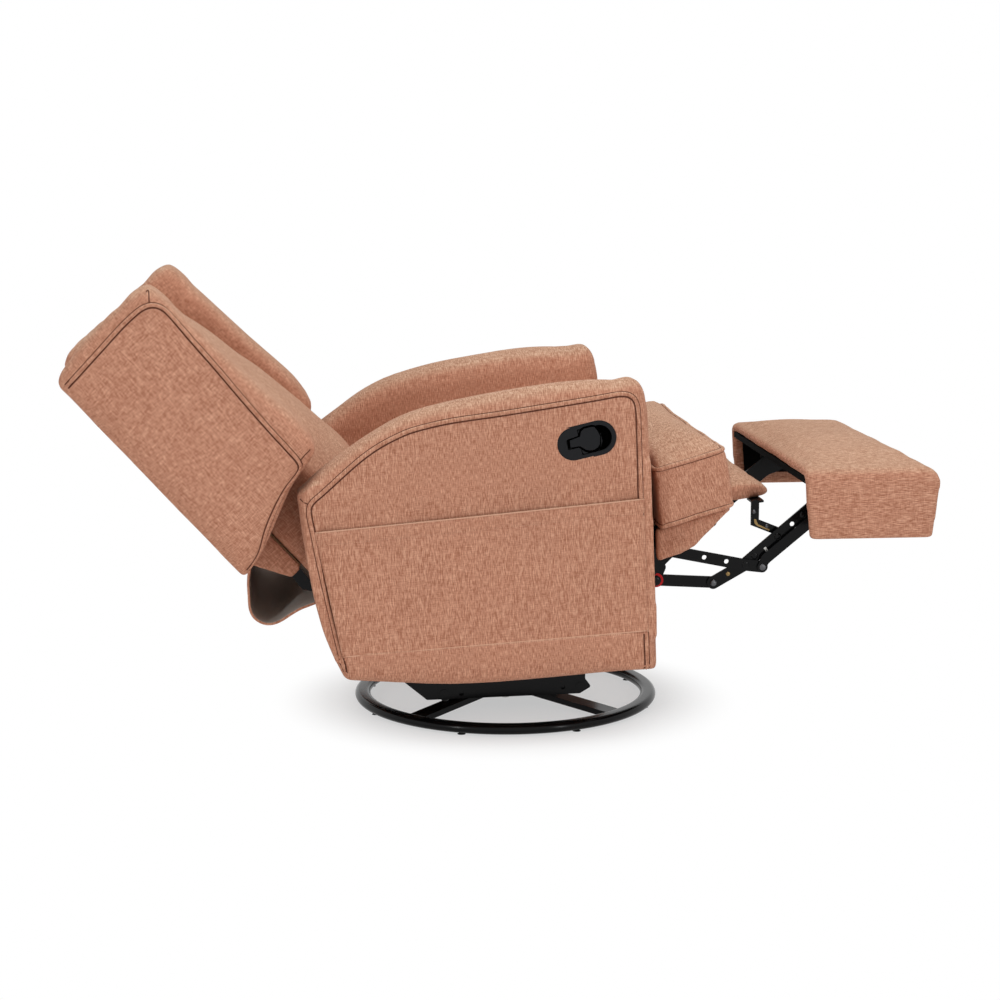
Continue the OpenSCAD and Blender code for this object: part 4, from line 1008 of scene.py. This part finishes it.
CURTAIN = [
    (-497, 325), (-501, 298), (-500, 270), (-498, 246), (-489, 229), (-470, 219), (-448, 222),
    (-421, 238), (-406, 246), (-392, 251), (-378, 256),
]
CURTAIN_WIDTH = 0.516
CURTAIN_HALF_THICK = 0.0022
path = smooth_line(placed(CURTAIN, LEVEL_FRAME, 0.0), 0.004)
columns, rows = 60, len(path) - 1
points = []
for off in (CURTAIN_HALF_THICK, -CURTAIN_HALF_THICK):
    for i, p in enumerate(path):
        along_path = (path[min(i + 1, rows)] - path[max(i - 1, 0)]).normalized()
        normal = Vector((along_path.z, 0, -along_path.x))
        arch = math.sin(math.pi * i / rows)
        for k in range(columns + 1):
            u = k / columns
            sag = 0.0025 * arch * math.sin(3.1 * u + 0.4)
            wave = 0.0012 * arch * math.sin(14 * u)
            y = CURTAIN_WIDTH * (u - 0.5)
            points.append(p + normal * (off + sag + wave) + Vector((0, y, 0)))
faces = sheet_faces(columns, rows)
curtain = add_mesh("rear_curtain", points, faces, cloth["body"])
curtain.data.materials.append(lining)
for polygon in curtain.data.polygons[: 2 * columns * rows]:
    polygon.material_index = polygon.index % 2
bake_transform(curtain)
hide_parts("curtain_upper", "curtain_lower")
flat = (CURTAIN_WIDTH, round(float(lengths_along(path)[-1]), 3))


# Small steel parts of the linkage


def dome(name, x, z, y, radius, height, out, body, material, slot="black_steel"):
    """A rivet's or bolt's rounded head on a side face"""
    points = []
    rings, around = 5, 20
    for j in range(rings + 1):
        rise = math.pi / 2 * j / rings
        r, up = radius * math.cos(rise), out * height * math.sin(rise)
        for k in range(around):
            turn = 2 * math.pi * k / around
            points.append((x + r * math.cos(turn), y + up, z + r * math.sin(turn)))
    faces = [*tube_faces(rings + 1, around), tuple(range(around))[::-1]]
    if out > 0:
        faces = flipped(faces)
    return dress(add_mesh(name, points, faces, material), body, slot=slot)


HEADS = [
    ("upper_pivot_rivet", 0.27914, 0.340, 0.2450, 0.0068, 0.0016, "footrest_upper_link", paint),
    ("scissor_rivet", 0.431, 0.309, 0.2450, 0.0068, 0.0016, "footrest_upper_link", paint),
    ("upper_end_rivet", 0.463, 0.305, 0.2500, 0.0064, 0.0020, "footrest_short_link", dark_zinc),
    ("long_end_bolt", 0.371, 0.275, 0.2400, 0.0068, 0.0045, "footrest_long_link", dark_zinc),
    ("footrest_rivet", 0.575, 0.432, 0.2450, 0.0068, 0.0016, "footrest_board", paint),
    ("brass_rivet", 0.3989, 0.2915, 0.2400, 0.0042, 0.0012, "footrest_long_link", yellow_zinc),
    ("low_bolt", 0.44972, 0.32499, 0.2400, 0.0066, 0.0022, "footrest_long_link", paint),
    ("pad_bracket_bolt", 0.49292, 0.36189, 0.2400, 0.0068, 0.0026, "footrest_long_link", paint),
    ("top_bolt", 0.54044, 0.40248, 0.2400, 0.0066, 0.0020, "footrest_long_link", paint),
    ("elbow_bolt_high", 0.4490, 0.4080, 0.2290, 0.0046, 0.0035, "footrest_long_link", dark_zinc),
    ("elbow_bolt_low", 0.4740, 0.3800, 0.2290, 0.0046, 0.0035, "footrest_long_link", dark_zinc),
    ("cradle_rivet_rear", -0.1024, 0.0542, 0.1695, 0.0078, 0.0016, "turntable", paint),
    ("cradle_rivet_front", 0.0940, 0.0619, 0.1695, 0.0078, 0.0016, "turntable", paint),
    ("cradle_boss", -0.1332, 0.0483, 0.1695, 0.0100, 0.0050, "turntable", paint),
    ("cradle_rivet_low", -0.1658, 0.0531, 0.1695, 0.0050, 0.0018, "turntable", paint),
    ("cradle_rivet_middle", -0.0350, 0.0576, 0.1695, 0.0048, 0.0018, "turntable", paint),
]
for name, x, z, y, radius, height, body, finish in HEADS:
    slot = "black_steel" if finish is paint else "zinc_steel"
    for side, tag in SIDES:
        dome(f"{name}_{tag}", x, z, side * y, radius, height, side, body, finish, slot)


def plate(name, points, material, turned=False, edge=0.0004):
    """A flat piece between two outlines of as many points, with its edges broken"""
    faces = closed_faces(2, len(points) // 2)
    made = add_mesh(name, points, flipped(faces) if turned else faces, material, False)
    bevel = made.modifiers.new("edge", "BEVEL")
    bevel.width, bevel.segments = edge, 2
    return settled(made)


def flat_plate(name, outline, y0, y1, body, material, slot):
    """A flat piece on both sides of the chair, from its outline in the side plane in millimetres"""
    outline = [(float(x), float(z)) for x, z in outline]
    turning = sum(a[0] * b[1] - b[0] * a[1] for a, b in zip(outline, outline[1:] + outline[:1]))
    if turning < 0:
        outline = outline[::-1]
    for side, tag in SIDES:
        points = [Vector((x * MM, side * y, z * MM)) for y in (y0, y1) for x, z in outline]
        dress(plate(f"{name}_{tag}", points, material, side > 0), body, slot=slot)


flat_plate(
    "pad_bracket_gusset",
    [(449, 394), (450, 386), (455, 381), (479, 371), (480, 374), (457, 384), (453, 394)],
    0.2290, 0.2302, "footrest_long_link", yellow_zinc, "zinc_steel",
)
flat_plate(
    "stop_tab",
    [(466, 340), (470, 343), (486, 321), (482, 318)],
    0.2400, 0.2412, "footrest_long_link", zinc, "zinc_steel",
)
flat_plate(
    "footrest_cheek",
    [(541, 480), (548, 398), (750, 398), (750, 480)],
    0.3155, 0.3185, "footrest_board", board_black, "black_steel",
)


def bent_strap(name, node, shift, body):
    """A strap in the place of a solid one, set over to one side between its two pivots"""
    co = places(nodes[node])
    near = co[co[:, 1] > 0]
    flat = near[:, [0, 2]] / MM
    middle = flat.mean(0)
    along = np.linalg.eigh(np.cov((flat - middle).T))[1][:, 1]
    along *= np.sign(along[0])
    across = np.array([-along[1], along[0]])
    half = np.abs((flat - middle) @ across).max()
    low = ((flat - middle) @ along).min() + half
    high = ((flat - middle) @ along).max() - half
    upper, lower = [], []
    for t in np.linspace(0, 1, 33):
        over = shift * soft_step(t, -0.02, 0.08) * (1 - soft_step(t, 0.80, 0.97))
        centre = middle + along * (low + (high - low) * t)
        upper.append(centre + across * (over + half))
        lower.append(centre + across * (over - half))
    ends = []
    angles = [math.pi / 2 - k * math.pi / 10 for k in range(1, 10)]
    round_end = [half * (along * math.cos(a) + across * math.sin(a)) for a in angles]
    for far, turn in ((high, 1), (low, -1)):
        ends.append([middle + along * far + turn * p for p in round_end])
    outline = upper + ends[0] + lower[::-1] + ends[1]
    flat_plate(name, outline, near[:, 1].min(), near[:, 1].max(), body, paint, "black_steel")
    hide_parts(node)


bent_strap("short_link_strap", "footrest_short_links", 8.5, "footrest_short_link")


def handle_plate(name, outline, out0, out1, body, material):
    """A flat piece on the handle, from its outline on the handle's own slope in millimetres"""
    face = places(nodes["handle_bezel"])[:, 1].min()
    points = [p for out in (out0, out1) for p in placed(outline, HANDLE_FRAME, face - out)]
    made = plate(name, points, material, edge=min(0.0005, (out1 - out0) * 0.4))
    return dress(made, body, slot="black_plastic")


RECESS = [
    (-34, 10.5), (-35, -6.5), (-16.5, -8.6), (-12, -13), (-7, -18.6), (0, -22.4), (12, -23.6),
    (21, -20), (25, -10), (27.5, 3.6), (25, 16), (21, 24), (15, 26.4), (0, 26.6), (-7.4, 23.8),
    (-11.6, 17), (-14, 12.4),
]
LEVER_FACE = [
    (-29.5, 7.8), (-31, -4.9), (-14, -6.2), (-9, -10.8), (-4.8, -15.2), (2, -18), (10, -18.6),
    (17, -16), (22, -11), (25.4, 2.8), (22.6, 14), (18.6, 21.4), (14, 22.8), (0, 22.8),
    (-6.2, 19.2), (-10, 10.4),
]
CUP_FLOOR = [
    (-14, -23), (24, -25.4), (34, -23.4), (43, -16.5), (48, -6), (49, 4), (46, 13), (38, 21.5),
    (28, 25), (24, 25.4), (-14, 23),
]
# Painted shade: pitch-black plates on the cup's floor and in the groove round the lever
handle_plate("cup_floor_shade", CUP_FLOOR, -0.0082, -0.0074, "carriage", painted_cup_shade)
handle_plate("handle_recess_shade", RECESS, -0.0004, 0.0003, "carriage", painted_cup_shade)
handle_plate("lever_face", LEVER_FACE, -0.0010, 0.0016, "lever", plastic)

bushing = places(nodes["link_bushings"])
x, _, z = (bushing.max(0) + bushing.min(0)) / 2
out = abs(bushing[:, 1]).max()
for side, tag in SIDES:
    spot = (x - 0.0012, z - 0.0008, side * out)
    dome(f"bushing_bolt_{tag}", *spot, 0.0102, 0.004, side, "footrest_lower_link", paint)


# The ring's tube, rounder than its solid is cut

tube = places(nodes["base_ring"])
TUBE_RADIUS, TUBE_FLAT, RING_STEPS = 0.00925, 0.006, 240
middle_radius, tube_height = tube[:, 0].max() - 0.015, tube[:, 2].min() + 0.009
turns = np.linspace(-math.pi / 2, math.pi / 2, 17)
half_round = [(math.cos(a) * TUBE_RADIUS, math.sin(a) * TUBE_RADIUS) for a in turns]
section = [(TUBE_FLAT + a, b) for a, b in half_round]
section += [(-TUBE_FLAT - a, b) for a, b in half_round[::-1]]
points = []
for k in range(RING_STEPS):
    turn = 2 * math.pi * k / RING_STEPS
    for a, b in section:
        far = middle_radius + a
        points.append((far * math.cos(turn), far * math.sin(turn), tube_height + b))
faces = flipped(tube_faces(RING_STEPS + 1, len(section)))
faces = [tuple(i % len(points) for i in face) for face in faces]
dress(add_mesh("ring_tube", points, faces, paint), "base", slot="black_steel")


# Studio

FLOOR_HALF = 9.0
corners = [(x * FLOOR_HALF, y * FLOOR_HALF, 0) for x, y in ((-1, -1), (1, -1), (1, 1), (-1, 1))]
ground = Shader("studio_floor", (0.92, 0.92, 0.92), 0.9, Specular_IOR_Level=0.0)
away = ground.length(ground.own_place())
# Camera rays near the chair see half white glow and half the floor's lit colour with its real shadow;
# past 0.47 m the glow is whole, so the shadow's reach is painted
shadow_fading_glow = 0.50 + away.between(0.24, 0.47) * 0.50
glow = ground.node("ShaderNodeEmission", None, {"Color": (1, 1, 1, 1), "Strength": 1.0})
matt = Value(ground, ground.surface.outputs[0])
shares = {0: ground.backdrop() * shadow_fading_glow, 1: matt, 2: glow}
ground.put(ground.output.inputs["Surface"], ground.node("ShaderNodeMixShader", None, shares))
floor = add_mesh("floor", corners, [(0, 1, 2, 3)], ground.material, False)

scene.world = bpy.data.worlds.new("studio")
scene.world.use_nodes = True
sky = Nodes(scene.world.node_tree)
back_light = sky.tree.nodes["Background"].inputs
levels = {"Value": sky.backdrop(), "To Min": 0.40, "To Max": 1.0}
sky.put(back_light["Color"], (1, 1, 1, 1))
sky.put(back_light["Strength"], sky.node("ShaderNodeMapRange", None, levels))


def lamp(name, place, aim, wide, tall, power):
    """A rectangular lamp at a place, turned to what it lights"""
    light = bpy.data.lights.new(name, "AREA")
    light.shape, light.size, light.size_y, light.energy = "RECTANGLE", wide, tall, power
    made = bpy.data.objects.new(name, light)
    scene.collection.objects.link(made)
    made.location = place
    made.rotation_euler = (Vector(aim) - Vector(place)).to_track_quat("-Z", "Y").to_euler()
    return made


lamp("overhead_softbox", (0.3, -0.6, 3.2), (0, 0, 0.3), 2.6, 2.6, 46)
lamp("left_strip", (-2.2, -2.5, 1.2), (0, 0, 0.2), 0.22, 1.3, 14)
lamp("right_strip", (1.95, -2.75, 1.2), (0, 0, 0.2), 0.22, 1.3, 14)

CAMERA_PLACE = Vector((-0.4077, -4.07125, 1.08652))
CAMERA_TURN, CAMERA_DIP = math.radians(5.57), math.radians(9.53)
level = math.cos(CAMERA_DIP)
look = Vector((math.sin(CAMERA_TURN) * level, math.cos(CAMERA_TURN) * level, -math.sin(CAMERA_DIP)))
lens = bpy.data.cameras.new("camera")
lens.sensor_width, lens.lens = 36.0, 75.6
lens.sensor_fit = "HORIZONTAL"
camera = bpy.data.objects.new("camera", lens)
scene.collection.objects.link(camera)
camera.location = CAMERA_PLACE
camera.rotation_euler = look.to_track_quat("-Z", "Y").to_euler()
scene.camera = camera
scene.view_settings.view_transform = "Standard"
